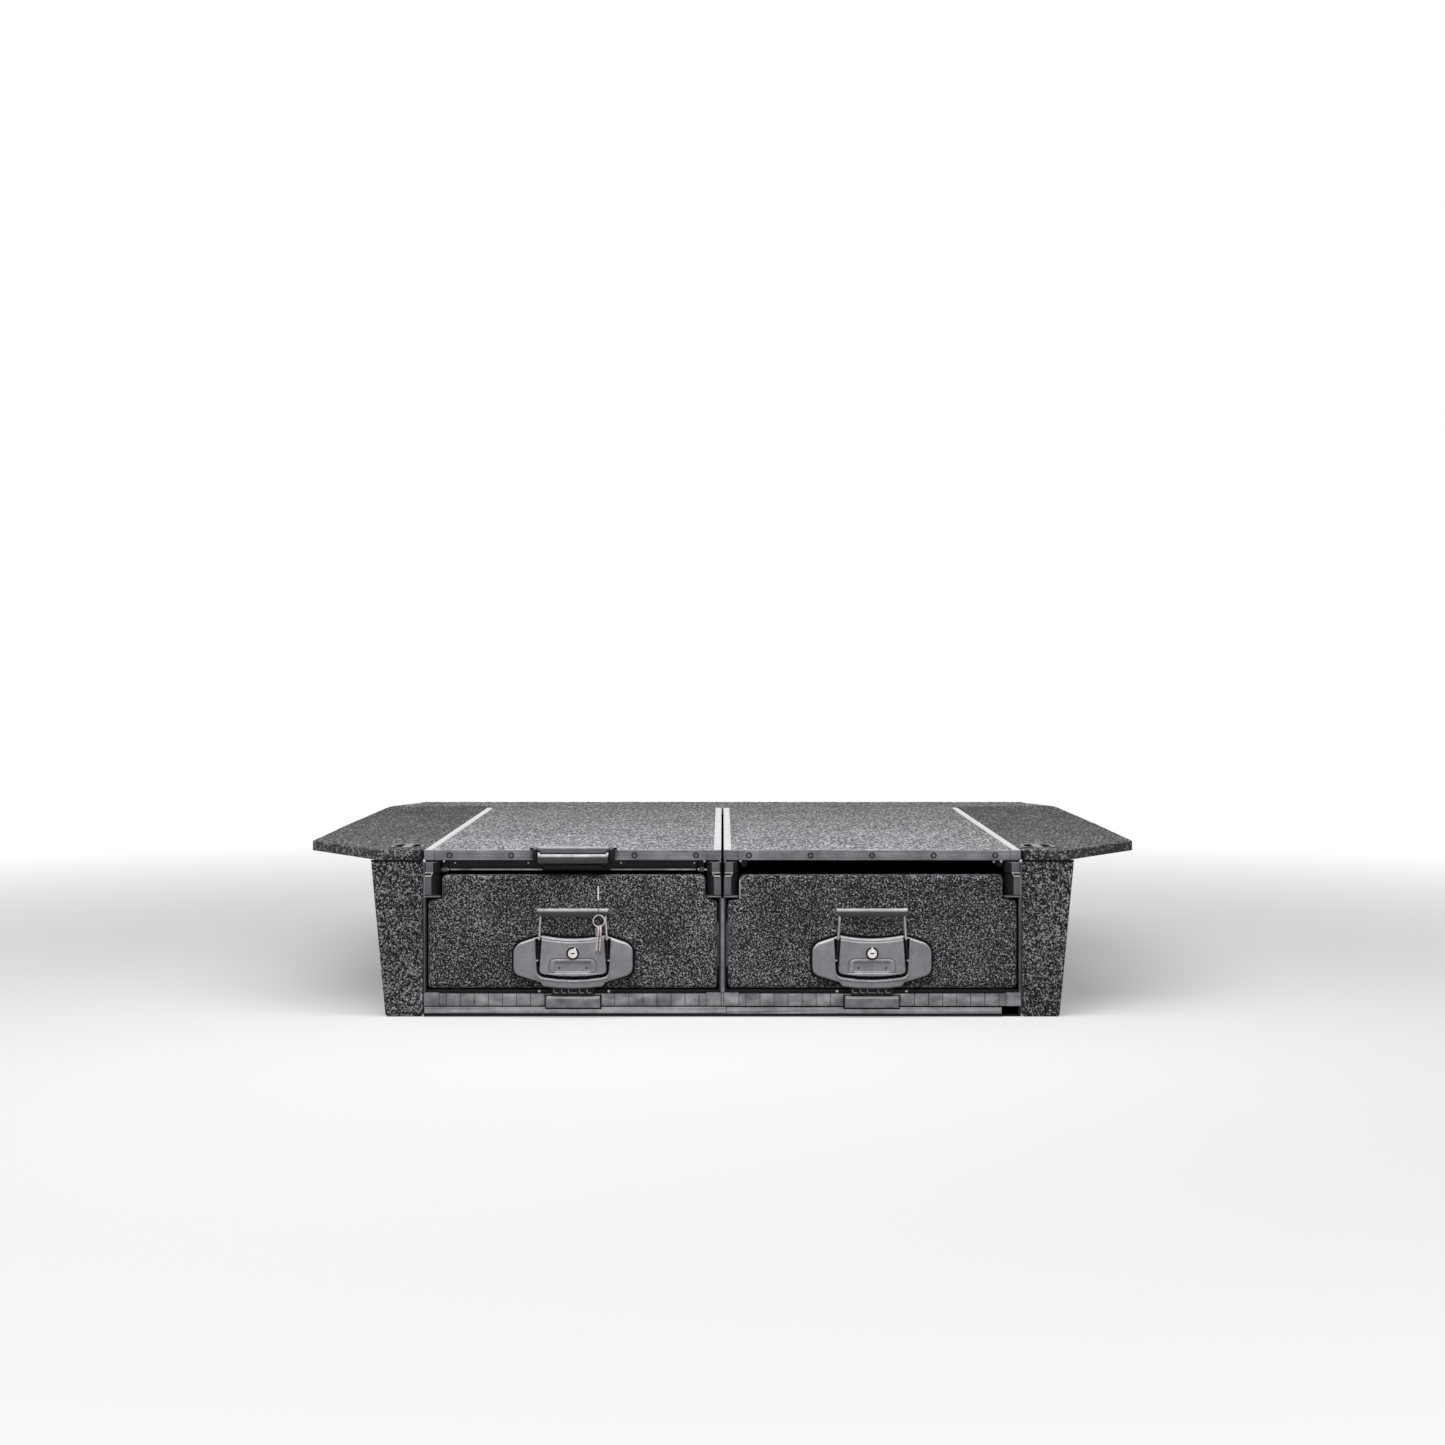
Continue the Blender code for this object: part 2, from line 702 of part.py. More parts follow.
def sill_band(side):
    """Scored aluminium band across the module's front, with a plain block at each end."""
    first, second = MODULES[side]
    band = box(f"{side}_sill_band", (first.at(0), second.at(0)), (depth(-BAND_PROUD), depth(BAND_DEPTH)),
               (BAND_BOTTOM, BAND_TOP), "satin_aluminium")
    tall = (BAND_BOTTOM - OVERRUN, BAND_TOP + OVERRUN)
    for edge in (first, second):
        cut(band, box("side_rebate", (edge.at(-OVERRUN), edge.at(SIDE_WALL + TOUCH)),
                      (depth(-TOUCH), depth(BAND_DEPTH + OVERRUN)), tall))
    start, end = first.at(BAND_END), second.at(BAND_END)
    middle = (start + end) / 2
    count = int((end - start) / 2 / BAND_PITCH)
    scores = [start, end] + [middle + BAND_PITCH * k for k in range(-count, count + 1)
                             if abs(BAND_PITCH * k) > CATCH_WIDTH / 2]
    half = BAND_GROOVE_WIDTH / 2
    cut_depth = (depth(-BAND_PROUD - OVERRUN), depth(-BAND_PROUD + BAND_GROOVE_DEPTH))
    for x in scores:
        cut(band, box("score", (x - half, x + half), cut_depth, tall))
    return band


def catch_plate(side):
    """Keeper that the latch tongue drops behind, with a sloped top edge."""
    x = SIGNS[side] * HANDLE_X
    back, front = -BAND_PROUD - TOUCH, -BAND_PROUD - TOUCH - CATCH_DEPTH
    outline = [
        (depth(back), CATCH_BOTTOM),
        (depth(back), CATCH_TOP),
        (depth(front + CATCH_CHAMFER), CATCH_TOP),
        (depth(front), CATCH_TOP - CATCH_CHAMFER),
        (depth(front), CATCH_BOTTOM),
    ]
    span = (x - CATCH_WIDTH / 2, x + CATCH_WIDTH / 2)
    return prism(f"{side}_catch_plate", outline, "X", span, "satin_aluminium")


def wing_deck(side):
    """Side wing: a board that widens behind the tub opening, with a hole for its tie-down cup."""
    edge = OUTER_EDGES[side]
    sign = SIGNS[side]
    near = edge.at(-WING_GAP)
    outline = [
        (near, depth(0)),
        (sign * WING_FRONT_X, depth(0)),
        (sign * WING_REACH, depth(WING_SHOULDER)),
        (sign * WING_REACH, depth(WING_TAPER_START)),
        (sign * WING_REAR_X, depth(WING_LENGTH)),
        (near, depth(WING_LENGTH)),
    ]
    deck = prism(f"{side}_wing_deck", outline, "Z", (WING_UNDER, DECK_TOP), "carpet")
    hole = stadium((sign * CUP_X, depth(CUP_DEPTH)), CUP_WIDTH, CUP_LENGTH)
    cut(deck, prism("cup_hole", hole, "Z", (WING_UNDER - OVERRUN, DECK_TOP + OVERRUN)))
    return deck


def tie_down_cup(side):
    """Moulded cup sunk in the wing, with a fixed bar along its middle to hook a strap on."""
    centre = (SIGNS[side] * CUP_X, depth(CUP_DEPTH))
    outer = stadium(centre, CUP_WIDTH - 2 * TOUCH, CUP_LENGTH - 2 * TOUCH)
    inside = stadium(centre, CUP_WIDTH - 2 * CUP_WALL, CUP_LENGTH - 2 * CUP_WALL)
    rim = stadium(centre, CUP_WIDTH + 2 * CUP_RIM, CUP_LENGTH + 2 * CUP_RIM)
    rim_bottom = DECK_TOP + TOUCH
    rim_top = rim_bottom + CUP_RIM_THICK
    bar_top = rim_top - CUP_BAR_BELOW
    cup = prism(f"{side}_tie_down_cup", outer, "Z", (DECK_TOP - CUP_DROP, rim_top), "black_plastic")
    join(cup, prism("rim", rim, "Z", (rim_bottom, rim_top)))
    cut(cup, prism("hollow", inside, "Z", (DECK_TOP - CUP_DROP + CUP_WALL, rim_top + OVERRUN)))
    half = CUP_BAR / 2
    end_radius = CUP_WIDTH / 2 - 2 * TOUCH
    reach = (CUP_LENGTH - CUP_WIDTH) / 2 + math.sqrt(end_radius ** 2 - half ** 2)
    join(cup, box("bar", (centre[0] - half, centre[0] + half), (centre[1] - reach, centre[1] + reach),
                  (bar_top - CUP_BAR_THICK, bar_top)))
    return cup


def fascia(side):
    edge = OUTER_EDGES[side]
    outline = [
        (edge.at(-WING_GAP), 0),
        (edge.at(-WING_GAP - FASCIA_BOTTOM_WIDTH), 0),
        (edge.at(-WING_GAP - FASCIA_TOP_WIDTH), BEARER_TOP),
        (edge.at(-WING_GAP), BEARER_TOP),
    ]
    return prism(f"{side}_fascia", outline, "Y", (depth(0), depth(FASCIA_THICK)), "carpet")


def rear_infill():
    outline = [
        (-WING_REAR_X, depth(INFILL_START)),
        (WING_REAR_X, depth(INFILL_START)),
        (INFILL_REAR_X, depth(INFILL_CORNER)),
        (INFILL_REAR_X, depth(SYSTEM_DEPTH)),
        (-INFILL_REAR_X, depth(SYSTEM_DEPTH)),
        (-INFILL_REAR_X, depth(INFILL_CORNER)),
    ]
    return prism("rear_infill", outline, "Z", (WING_UNDER, DECK_TOP), "carpet")


def channel(edge, start, reach, half_height):
    """C section of a runner: web towards the module side, open towards the drawer."""
    web = start + RUNNER_SHEET
    inner = half_height - RUNNER_SHEET
    profile = [(start, -half_height), (reach, -half_height), (reach, -inner), (web, -inner),
               (web, inner), (reach, inner), (reach, half_height), (start, half_height)]
    return [(edge.at(SIDE_WALL + u), RUNNER_MID_HEIGHT + v) for u, v in profile]


def runner_pair(edge):
    """Fixed outer channel and the middle channel that telescopes in it."""
    span = (depth(RUNNER_START), depth(RUNNER_START + RUNNER_LENGTH))
    half = RUNNER_HEIGHT / 2
    nested = RUNNER_SHEET + SLIDE
    outline = channel(edge, TOUCH, RUNNER_OUTER_DEPTH, half)
    outer = prism(f"{edge.name}_runner_fixed", outline, "Y", span, "zinc_steel")
    outline = channel(edge, TOUCH + nested, RUNNER_MIDDLE_DEPTH, half - nested)
    middle = prism(f"{edge.name}_runner_middle", outline, "Y", span, "zinc_steel")
    return outer, middle


def drawer_tray(side):
    """Open box on two runner members, closed in front by its own low wall."""
    first, second = MODULES[side]
    inset = SIDE_WALL + RUNNER_SPACE
    hollow = inset + TRAY_WALL
    back = TRAY_START + TRAY_LENGTH
    tray = box(f"{side}_drawer_tray", (first.at(inset), second.at(inset)), (depth(TRAY_START), depth(back)),
               (TRAY_BOTTOM, TRAY_TOP), "carpet")
    cut(tray, box("hollow", (first.at(hollow), second.at(hollow)),
                  (depth(TRAY_START + TRAY_WALL), depth(back - TRAY_WALL)),
                  (TRAY_BOTTOM + TRAY_WALL, TRAY_TOP + OVERRUN)))
    member = RUNNER_HEIGHT / 2 - 2 * (RUNNER_SHEET + SLIDE)
    near = SIDE_WALL + TOUCH + 2 * (RUNNER_SHEET + SLIDE)
    for edge in (first, second):
        join(tray, box("member", (edge.at(near), edge.at(inset + TRAY_WALL / 2)),
                       (depth(RUNNER_START), depth(RUNNER_START + RUNNER_LENGTH)),
                       (RUNNER_MID_HEIGHT - member, RUNNER_MID_HEIGHT + member)))
    return tray


def drawer_front(side):
    """Carpeted board, notched at its upper corners to pass the corner caps."""
    first, second = MODULES[side]
    gap = SIDE_WALL + FRONT_SIDE_GAP
    notch = CAP_WIDTH + CAP_LIP_WIDER + CAP_CLEAR
    shelf = CAP_BOTTOM - CAP_CLEAR
    outline = [
        (first.at(gap), FRONT_BOTTOM),
        (second.at(gap), FRONT_BOTTOM),
        (second.at(gap), shelf),
        (second.at(notch), shelf),
        (second.at(notch), FRONT_TOP),
        (first.at(notch), FRONT_TOP),
        (first.at(notch), shelf),
        (first.at(gap), shelf),
    ]
    return prism(f"{side}_drawer_front", outline, "Y", (depth(FRONT_SET), depth(FRONT_BACK)), "carpet")


def mirrored(half_outline, x):
    """A closed outline from its right half, listed top to bottom, about the line at x."""
    right = [(x + u, v) for u, v in half_outline]
    left = [(x - u, v) for u, v in reversed(half_outline) if u > 0]
    return right + left


def handle_outline(x):
    """Face of the handle: a dished top edge between two swept wings, and a crowned chin."""
    dish = [(PLATE_TOP_HALF * k / ARC_STEPS, HANDLE_TOP - HANDLE_DISH * (1 - (k / ARC_STEPS) ** 2))
            for k in range(ARC_STEPS + 1)]
    chin = [(CHIN_FOOT_HALF * (1 - k / ARC_STEPS),
             CHIN_FOOT_Z + (CHIN_BOTTOM_Z - CHIN_FOOT_Z) * (1 - (1 - k / ARC_STEPS) ** 2))
            for k in range(ARC_STEPS + 1)]
    wing = [
        (GROOVE_TOP_HALF, WING_TOP_Z),
        (WING_CORNER_HALF, WING_CORNER_Z),
        (WING_SIDE_HALF, WING_SIDE_TOP_Z),
        (WING_SIDE_HALF, WING_SIDE_LOW_Z),
        (WING_LOW_HALF, WING_LOW_Z),
        (CHIN_HALF, CHIN_Z),
    ]
    return mirrored(dish + wing + chin, x)


def groove_outline(x):
    """The U-shaped gap between the centre plate and the winged surround, open at the top."""
    above = HANDLE_TOP + OVERRUN
    outer = [
        (GROOVE_TOP_HALF, above),
        (GROOVE_SIDE_HALF, GROOVE_SIDE_Z),
        (GROOVE_CORNER_HALF, GROOVE_CORNER_Z),
        (0, GROOVE_BOTTOM_Z),
    ]
    inner = [
        (0, PLATE_BOTTOM_Z),
        (PLATE_CORNER_HALF, PLATE_CORNER_Z),
        (PLATE_SIDE_HALF, PLATE_SIDE_Z),
        (PLATE_TOP_HALF, above),
    ]
    right = outer[:-1]
    left = [(-u, v) for u, v in reversed(right)]
    inner_left = [(-u, v) for u, v in reversed(inner[1:])]
    path = right + [outer[-1]] + left + inner_left + inner
    return [(x + u, v) for u, v in path]


def handle_housing(side):
    x = SIGNS[side] * HANDLE_X
    back = FRONT_SET - TOUCH
    face = -HANDLE_PROUD
    span = (depth(back), depth(face))
    housing = prism(f"{side}_handle_housing", handle_outline(x), "Y", span, "grey_plastic")
    round_front(housing, HANDLE_EDGE)
    cut(housing, prism("groove", groove_outline(x), "Y", (depth(-SLOT_FLOOR), depth(face - OVERRUN))))
    bore = rod("lock_bore", (x, depth(face + (LOCK_LENGTH - OVERRUN) / 2), LOCK_Z), LOCK_RADIUS + TOUCH,
               LOCK_LENGTH + OVERRUN, "Y")
    cut(housing, bore)
    slack = SLIDE
    pocket_top = TONGUE_TOP + TONGUE_TRAVEL + slack
    cut(housing, box("tongue_pocket", (x - TONGUE_HALF - slack, x + TONGUE_HALF + slack),
                     (depth(-TONGUE_BACK + slack), depth(-TONGUE_BACK - TONGUE_THICK - slack)),
                     (CHIN_BOTTOM_Z - OVERRUN, pocket_top)))
    border = [(x - LABEL_HALF, LABEL_BOTTOM), (x + LABEL_HALF, LABEL_BOTTOM), (x + LABEL_HALF, LABEL_TOP),
              (x - LABEL_HALF, LABEL_TOP)]
    outline = filleted(border, (0, 0, LABEL_CORNER, LABEL_CORNER))
    cut(housing, prism("label_border", outline, "Y", (depth(face + LABEL_SUNK), depth(face - OVERRUN))))
    cut(housing, box("label_floor", (x - LABEL_INNER_HALF, x + LABEL_INNER_HALF),
                     (depth(face + 2 * LABEL_SUNK), depth(face)), (LABEL_INNER_BOTTOM, LABEL_INNER_TOP)))
    pin = BAIL_WIRE + TOUCH
    reach = BAIL_FOOT_HALF + BAIL_PIN + TOUCH
    pivot = (x, depth(-BAIL_PLANE), BAIL_PIVOT_Z)
    cut(housing, rod("pivot_bore", pivot, pin, 2 * reach, "X", sides=SMALL_SIDES))
    return housing


def round_front(obj, radius):
    """Bevels the edges that lie in the face nearest the viewer."""
    bm = bmesh.new()
    bm.from_mesh(obj.data)
    bmesh.ops.dissolve_limit(bm, angle_limit=FLAT_WITHIN, verts=bm.verts, edges=bm.edges)
    nearest = min(vertex.co.y for vertex in bm.verts)
    edges = [edge for edge in bm.edges
             if all(abs(vertex.co.y - nearest) < TOUCH for vertex in edge.verts)
             and edge.calc_face_angle(0) > CORNER_ABOVE]
    bmesh.ops.bevel(bm, geom=edges, offset=radius, segments=2, profile=ROUND_PROFILE_SHARE, affect="EDGES")
    bm.to_mesh(obj.data)
    bm.free()


def lock_barrel(side):
    x = SIGNS[side] * HANDLE_X
    front = -HANDLE_PROUD - LOCK_PROUD
    back = -HANDLE_PROUD + LOCK_LENGTH - TOUCH
    middle = (x, depth((front + back) / 2), LOCK_Z)
    barrel = rod(f"{side}_lock_barrel", middle, LOCK_RADIUS, back - front, "Y", "chrome")
    cut(barrel, box("keyway", (x - KEYWAY_WIDTH / 2, x + KEYWAY_WIDTH / 2),
                    (depth(front - OVERRUN), depth(front + KEYWAY_DEPTH)),
                    (LOCK_Z - KEYWAY_HEIGHT / 2, LOCK_Z + KEYWAY_HEIGHT / 2)))
    return barrel


def latch_tongue(side):
    """Spring bolt that shows under the handle as a block with small windows."""
    x = SIGNS[side] * HANDLE_X
    front = -TONGUE_BACK - TONGUE_THICK
    tongue = box(f"{side}_latch_tongue", (x - TONGUE_HALF, x + TONGUE_HALF),
                 (depth(-TONGUE_BACK), depth(front)), (TONGUE_BOTTOM, TONGUE_TOP), "black_plastic")
    for offset, width in TONGUE_SLOTS:
        cut(tongue, box("window", (x + offset - width / 2, x + offset + width / 2),
                        (depth(front - OVERRUN), depth(front + TONGUE_SLOT_DEPTH)), TONGUE_SLOT_Z))
    return tongue


def bail_wire(side):
    """Sprung wire bail: pins in the handle wings, two arms and a crossbar inside the grip."""
    x = SIGNS[side] * HANDLE_X
    y = depth(-BAIL_PLANE)
    bend = BAIL_BEND
    quarter = math.pi / 2
    half_path = [(BAIL_FOOT_HALF + BAIL_PIN, BAIL_PIVOT_Z), (BAIL_FOOT_HALF, BAIL_PIVOT_Z)]
    for step in range(ARC_STEPS + 1):
        turn = quarter * step / ARC_STEPS
        half_path.append((BAIL_TOP_HALF - bend + bend * math.cos(turn),
                          GRIP_Z - bend + bend * math.sin(turn)))
    right = [(x + u, y, v) for u, v in half_path]
    left = [(x - u, y, v) for u, v in reversed(half_path)]
    return wire(f"{side}_bail_wire", right + left, BAIL_WIRE, "zinc_steel")


def bail_grip(side):
    """Moulded tube over the bail's crossbar, slotted underneath where the arms enter."""
    x = SIGNS[side] * HANDLE_X
    y = depth(-BAIL_PLANE)
    grip = rod(f"{side}_bail_grip", (x, y, GRIP_Z), GRIP_RADIUS, 2 * GRIP_HALF, "X", "grey_plastic")
    bore = BAIL_WIRE + TOUCH
    reach = BAIL_TOP_HALF + bore
    cut(grip, rod("crossbar_bore", (x, y, GRIP_Z), bore, 2 * (reach - bore), "X", sides=SMALL_SIDES))
    for sign in (-1, 1):
        cut(grip, box("arm_slot", (x + sign * (reach - GRIP_SLOT - bore), x + sign * reach),
                      (y - bore, y + bore), (GRIP_Z - GRIP_RADIUS - OVERRUN, GRIP_Z + bore)))
    return grip


def key_x():
    return -HANDLE_X + KEY_X


def key_ring():
    x, y = key_x(), depth(-RING_FRONT)
    count = ROUND_SIDES
    points = [(x + RING_RADIUS * math.cos(2 * math.pi * k / count), y,
               RING_Z + RING_RADIUS * math.sin(2 * math.pi * k / count)) for k in range(count)]
    return wire("key_ring", points, RING_WIRE, "nickel", closed=True)


def key(name, offset):
    """A flat key hanging edge-on from the ring: round bow with an eye, and a straight blade."""
    x = key_x() + offset
    y = depth(-RING_FRONT)
    reach = KEY_SPREAD + KEY_THICK / 2
    rise = RING_RADIUS - math.sqrt(RING_RADIUS ** 2 - reach ** 2)
    eye_z = RING_Z - RING_RADIUS + rise - (KEY_EYE - RING_WIRE - TOUCH)
    bow_z = eye_z - KEY_EYE_DROP
    top = bow_z + KEY_BOW
    bow = rod(name, (x, y, bow_z), KEY_BOW, KEY_THICK, "X", "nickel", sides=SMALL_SIDES)
    blade = box("blade", (x - KEY_THICK / 2, x + KEY_THICK / 2),
                (y - KEY_BLADE_WIDTH / 2, y + KEY_BLADE_WIDTH / 2), (top - KEY_LENGTH, bow_z))
    join(bow, blade)
    cut(bow, rod("eye", (x, y, eye_z), KEY_EYE, KEY_THICK + OVERRUN, "X", sides=SMALL_SIDES))
    return bow


def key_tie():
    """Stiff wire tie: one turn round the grip and through the ring, with its tail standing up."""
    x, plane = key_x(), -BAIL_PLANE
    centre = plane - TIE_FRONT
    points = [(x - TIE_TURN_WIDTH / 2, depth(centre), TIE_TAIL_TOP)]
    for step in range(TIE_STEPS + 1):
        share = step / TIE_STEPS
        angle = math.pi / 2 + 2 * math.pi * share
        points.append((x - TIE_TURN_WIDTH / 2 + TIE_TURN_WIDTH * share,
                       depth(centre + TIE_HALF_DEPTH * math.cos(angle)),
                       GRIP_Z + TIE_HALF_HEIGHT * math.sin(angle)))
    return wire("key_tie", points, TIE_WIRE, "tie_wire")


def deck_beam():
    """Steel cross beam under the roller deck's front edge, with a thin lip below it."""
    first, second = MODULES["left"]
    span = (first.at(BEAM_INSET), second.at(BEAM_INSET))
    low = DECK_TOP - BEAM_DROP
    beam = box("roller_deck_beam", span, (depth(BEAM_FRONT), depth(BEAM_FRONT + BEAM_DEPTH)),
               (low, LEDGE_TOP), "black_steel")
    lip_front = BEAM_FRONT + BEAM_LIP_SET
    join(beam, box("beam_lip", span, (depth(lip_front), depth(lip_front + BEAM_LIP_DEPTH)),
                   (low - BEAM_LIP_DROP, low + TOUCH)))
    return beam


def deck_pull_frame():
    """Frame of the roller deck's pull: back plate, hood, two cheeks and a foot with a lower lip."""
    x = -HANDLE_X
    plate_front = PULL_BACK - PULL_PLATE
    frame = box("deck_pull_frame", (x - PULL_HALF, x + PULL_HALF), (depth(PULL_BACK), depth(plate_front)),
                (PULL_CHEEK_BOTTOM, PULL_TOP), "black_plastic")
    behind = plate_front + TOUCH
    join(frame, box("hood", (x - PULL_HOOD_HALF, x + PULL_HOOD_HALF), (depth(behind), depth(-PULL_REACH)),
                    (PULL_TOP - PULL_HOOD, PULL_TOP)))
    for sign in (-1, 1):
        outer = x + sign * PULL_HALF
        join(frame, box("cheek", (outer, outer - sign * PULL_CHEEK), (depth(behind), depth(-PULL_REACH)),
                        (PULL_CHEEK_BOTTOM, PULL_TOP)))
        foot = x + sign * PULL_FOOT_HALF
        join(frame, box("foot", (foot, foot - sign * PULL_FOOT),
                        (depth(behind), depth(-PULL_LIP_REACH)),
                        (PULL_FOOT_BOTTOM, PULL_CHEEK_BOTTOM + PULL_LIP)))
    join(frame, box("lower_lip", (x - PULL_FOOT_HALF, x + PULL_FOOT_HALF),
                    (depth(plate_front), depth(-PULL_LIP_REACH)),
                    (PULL_FOOT_BOTTOM, PULL_FOOT_BOTTOM + PULL_LIP)))
    pin = PADDLE_PIN + TOUCH
    reach = PADDLE_HALF + PADDLE_PIN_LENGTH + TOUCH
    pivot = (x, depth(-PADDLE_PIVOT), PADDLE_PIVOT_Z)
    cut(frame, rod("pin_bore", pivot, pin, 2 * reach, "X", sides=SMALL_SIDES))
    return frame


def deck_pull_paddle():
    """Rounded bar on two short arms that pivot in the frame's cheeks."""
    x = -HANDLE_X
    front = -PADDLE_BACK - PADDLE_DEPTH
    corners = [(depth(-PADDLE_BACK), PADDLE_BOTTOM), (depth(-PADDLE_BACK), PADDLE_TOP),
               (depth(front), PADDLE_TOP), (depth(front), PADDLE_BOTTOM)]
    outline = filleted(corners, [PADDLE_ROUND] * 4)
    paddle = prism("deck_pull_paddle", outline, "X", (x - PADDLE_HALF, x + PADDLE_HALF), "grey_plastic")
    smooth(paddle)
    for sign in (-1, 1):
        end = x + sign * PADDLE_HALF
        join(paddle, box("arm", (end, end - sign * PADDLE_ARM),
                         (depth(-PADDLE_PIVOT + PADDLE_ARM_HALF), depth(-PADDLE_BACK - PADDLE_DEPTH / 2)),
                         (PADDLE_PIVOT_Z - 2 * PADDLE_ARM_HALF, PADDLE_PIVOT_Z + PADDLE_ARM_HALF)))
        inner, outer = end - sign * PADDLE_ARM / 2, end + sign * PADDLE_PIN_LENGTH
        join(paddle, rod("pin", ((inner + outer) / 2, depth(-PADDLE_PIVOT), PADDLE_PIVOT_Z), PADDLE_PIN,
                         abs(outer - inner), "X", sides=SMALL_SIDES))
    return paddle


def carry(name, place, *pieces):
    """Parents the pieces of a moving body to an empty on its joint."""
    empty = bpy.data.objects.new(name, None)
    empty.location = place
    PARTS.objects.link(empty)
    bpy.context.view_layer.update()
    for piece in pieces:
        piece.parent = empty
        piece.matrix_parent_inverse = empty.matrix_world.inverted()
    return empty


def build_carcass():
    for edge in (LEFT_OUTER, LEFT_INNER, RIGHT_INNER, RIGHT_OUTER):
        side_panel(edge)
        corner_cap(edge)
    base_plate()
    back_panel()
    rear_infill()
    for side in MODULES:
        sill_band(side)
        catch_plate(side)
        wing_deck(side)
        tie_down_cup(side)
        fascia(side)
    deck_board("right")
    deck_trim("right")
    rail(RIGHT_INNER)
    rail(RIGHT_OUTER)


def build_drawer(side):
    x = SIGNS[side] * HANDLE_X
    middles = []
    for edge in MODULES[side]:
        outer, middle = runner_pair(edge)
        middles.append(middle)
    carry(f"{side}_runner_joint", (x, depth(RUNNER_START), RUNNER_MID_HEIGHT), *middles)
    carry(f"{side}_drawer_joint", (x, depth(FRONT_SET), RUNNER_MID_HEIGHT), drawer_tray(side),
          drawer_front(side), handle_housing(side))
    carry(f"{side}_lock_joint", (x, depth(-HANDLE_PROUD), LOCK_Z), lock_barrel(side))
    carry(f"{side}_latch_joint", (x, depth(-TONGUE_BACK), TONGUE_TOP), latch_tongue(side))
    bail_pieces = [bail_wire(side), bail_grip(side)]
    if side == "left":
        bail_pieces.append(key_tie())
        keys = [key("key_one", -KEY_SPREAD), key("key_two", KEY_SPREAD)]
        carry("key_joint", (key_x(), depth(-RING_FRONT), RING_Z + RING_RADIUS), key_ring(), *keys)
    carry(f"{side}_bail_joint", (x, depth(-BAIL_PLANE), BAIL_PIVOT_Z), *bail_pieces)


def build_roller_deck():
    deck = [deck_board("left"), deck_trim("left"), rail(LEFT_OUTER), rail(LEFT_INNER), deck_beam(),
            deck_pull_frame()]
    carry("roller_deck_joint", (-HANDLE_X, depth(0), DECK_UNDER), *deck)
    carry("deck_pull_joint", (-HANDLE_X, depth(-PADDLE_PIVOT), PADDLE_PIVOT_Z), deck_pull_paddle())
    for edge in MODULES["left"]:
        place = (edge.at(CAP_WIDTH), depth(ROLLER_DEPTH), roller_height())
        carry(f"{edge.name}_roller_joint", place, deck_roller(edge))


build_carcass()
build_drawer("left")
build_drawer("right")
build_roller_deck()
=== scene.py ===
"""Finished look of a twin ute drawer system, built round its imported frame.

Metres, +Z up, drawer fronts towards -Y, X to the right, floor at Z = 0.
A "proud" distance is measured out from the plane of the deck trims, towards -Y.
"""

import json
import math

import bmesh
import bpy
import numpy as np
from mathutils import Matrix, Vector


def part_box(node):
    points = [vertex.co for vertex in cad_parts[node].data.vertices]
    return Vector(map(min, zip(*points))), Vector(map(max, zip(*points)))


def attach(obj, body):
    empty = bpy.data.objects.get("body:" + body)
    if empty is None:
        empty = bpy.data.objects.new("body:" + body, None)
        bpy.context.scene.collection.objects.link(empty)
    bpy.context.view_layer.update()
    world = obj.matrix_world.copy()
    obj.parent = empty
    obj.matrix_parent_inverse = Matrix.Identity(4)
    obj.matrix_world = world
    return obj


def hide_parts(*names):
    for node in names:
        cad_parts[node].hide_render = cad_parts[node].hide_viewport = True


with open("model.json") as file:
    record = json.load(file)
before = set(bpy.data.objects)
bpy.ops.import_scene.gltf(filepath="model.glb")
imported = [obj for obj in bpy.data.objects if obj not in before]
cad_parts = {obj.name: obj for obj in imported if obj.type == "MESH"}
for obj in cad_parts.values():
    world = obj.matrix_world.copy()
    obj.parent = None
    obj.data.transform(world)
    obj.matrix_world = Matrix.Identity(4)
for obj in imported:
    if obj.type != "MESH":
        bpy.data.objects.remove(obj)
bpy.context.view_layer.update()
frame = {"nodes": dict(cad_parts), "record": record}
nodes = frame["nodes"]

# Planes, heights and widths that the finished pieces are set against
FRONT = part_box("fixed_deck_trim")[0][1]
DECK_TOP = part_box("fixed_deck_board")[1][2]
DECK_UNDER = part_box("fixed_deck_board")[0][2]
MODULE = {"left": (-0.510, -0.002), "right": (0.002, 0.510)}
SIGNS = {"left": -1, "right": 1}
DECK_BODY = {"left": "roller_deck", "right": "root"}
# The edge of a module that a rail or a corner cap follows, and the way from it into the module
EDGES = {"left_outer": (MODULE["left"][0], 1), "left_inner": (MODULE["left"][1], -1),
         "right_inner": (MODULE["right"][0], 1), "right_outer": (MODULE["right"][1], -1)}
HANDLE_X = 0.2545      # middle of a handle, from the middle of the pair
LOCK_Z = 0.1106        # middle of a lock
HANDLE_PROUD = 0.0250  # face of a handle
BAIL_PROUD = 0.019     # plane in which a bail and its grip hang
GRIP_Z = 0.179         # middle of a grip
DECK_SCREW_Z = 0.2753  # screws along the deck trims
DECK_LENGTH = 1.317    # the deck boards end here behind the front plane
CUP_SIZE = (0.050, 0.088)  # oblong of a tie-down cup
HAIR = 0.0002          # a finished skin stands this far off the surface it covers
FORWARD = (0, -1, 0)
PULL_HALF = 0.0690     # half the width of the roller deck's pull


# Geometry: every function gives a closed shell, as (vertices, list of face arrays)

def place(axis, flat, along):
    """Points of an outline set in space: along is X, Y or Z for those axes, and proud for "front"."""
    along = np.broadcast_to(along, flat.shape[:-1])
    u, v = flat[..., 0], flat[..., 1]
    order = {"X": (along, u, v), "Y": (u, along, v), "Z": (u, v, along), "front": (u, FRONT - along, v)}
    return np.stack(order[axis], -1)


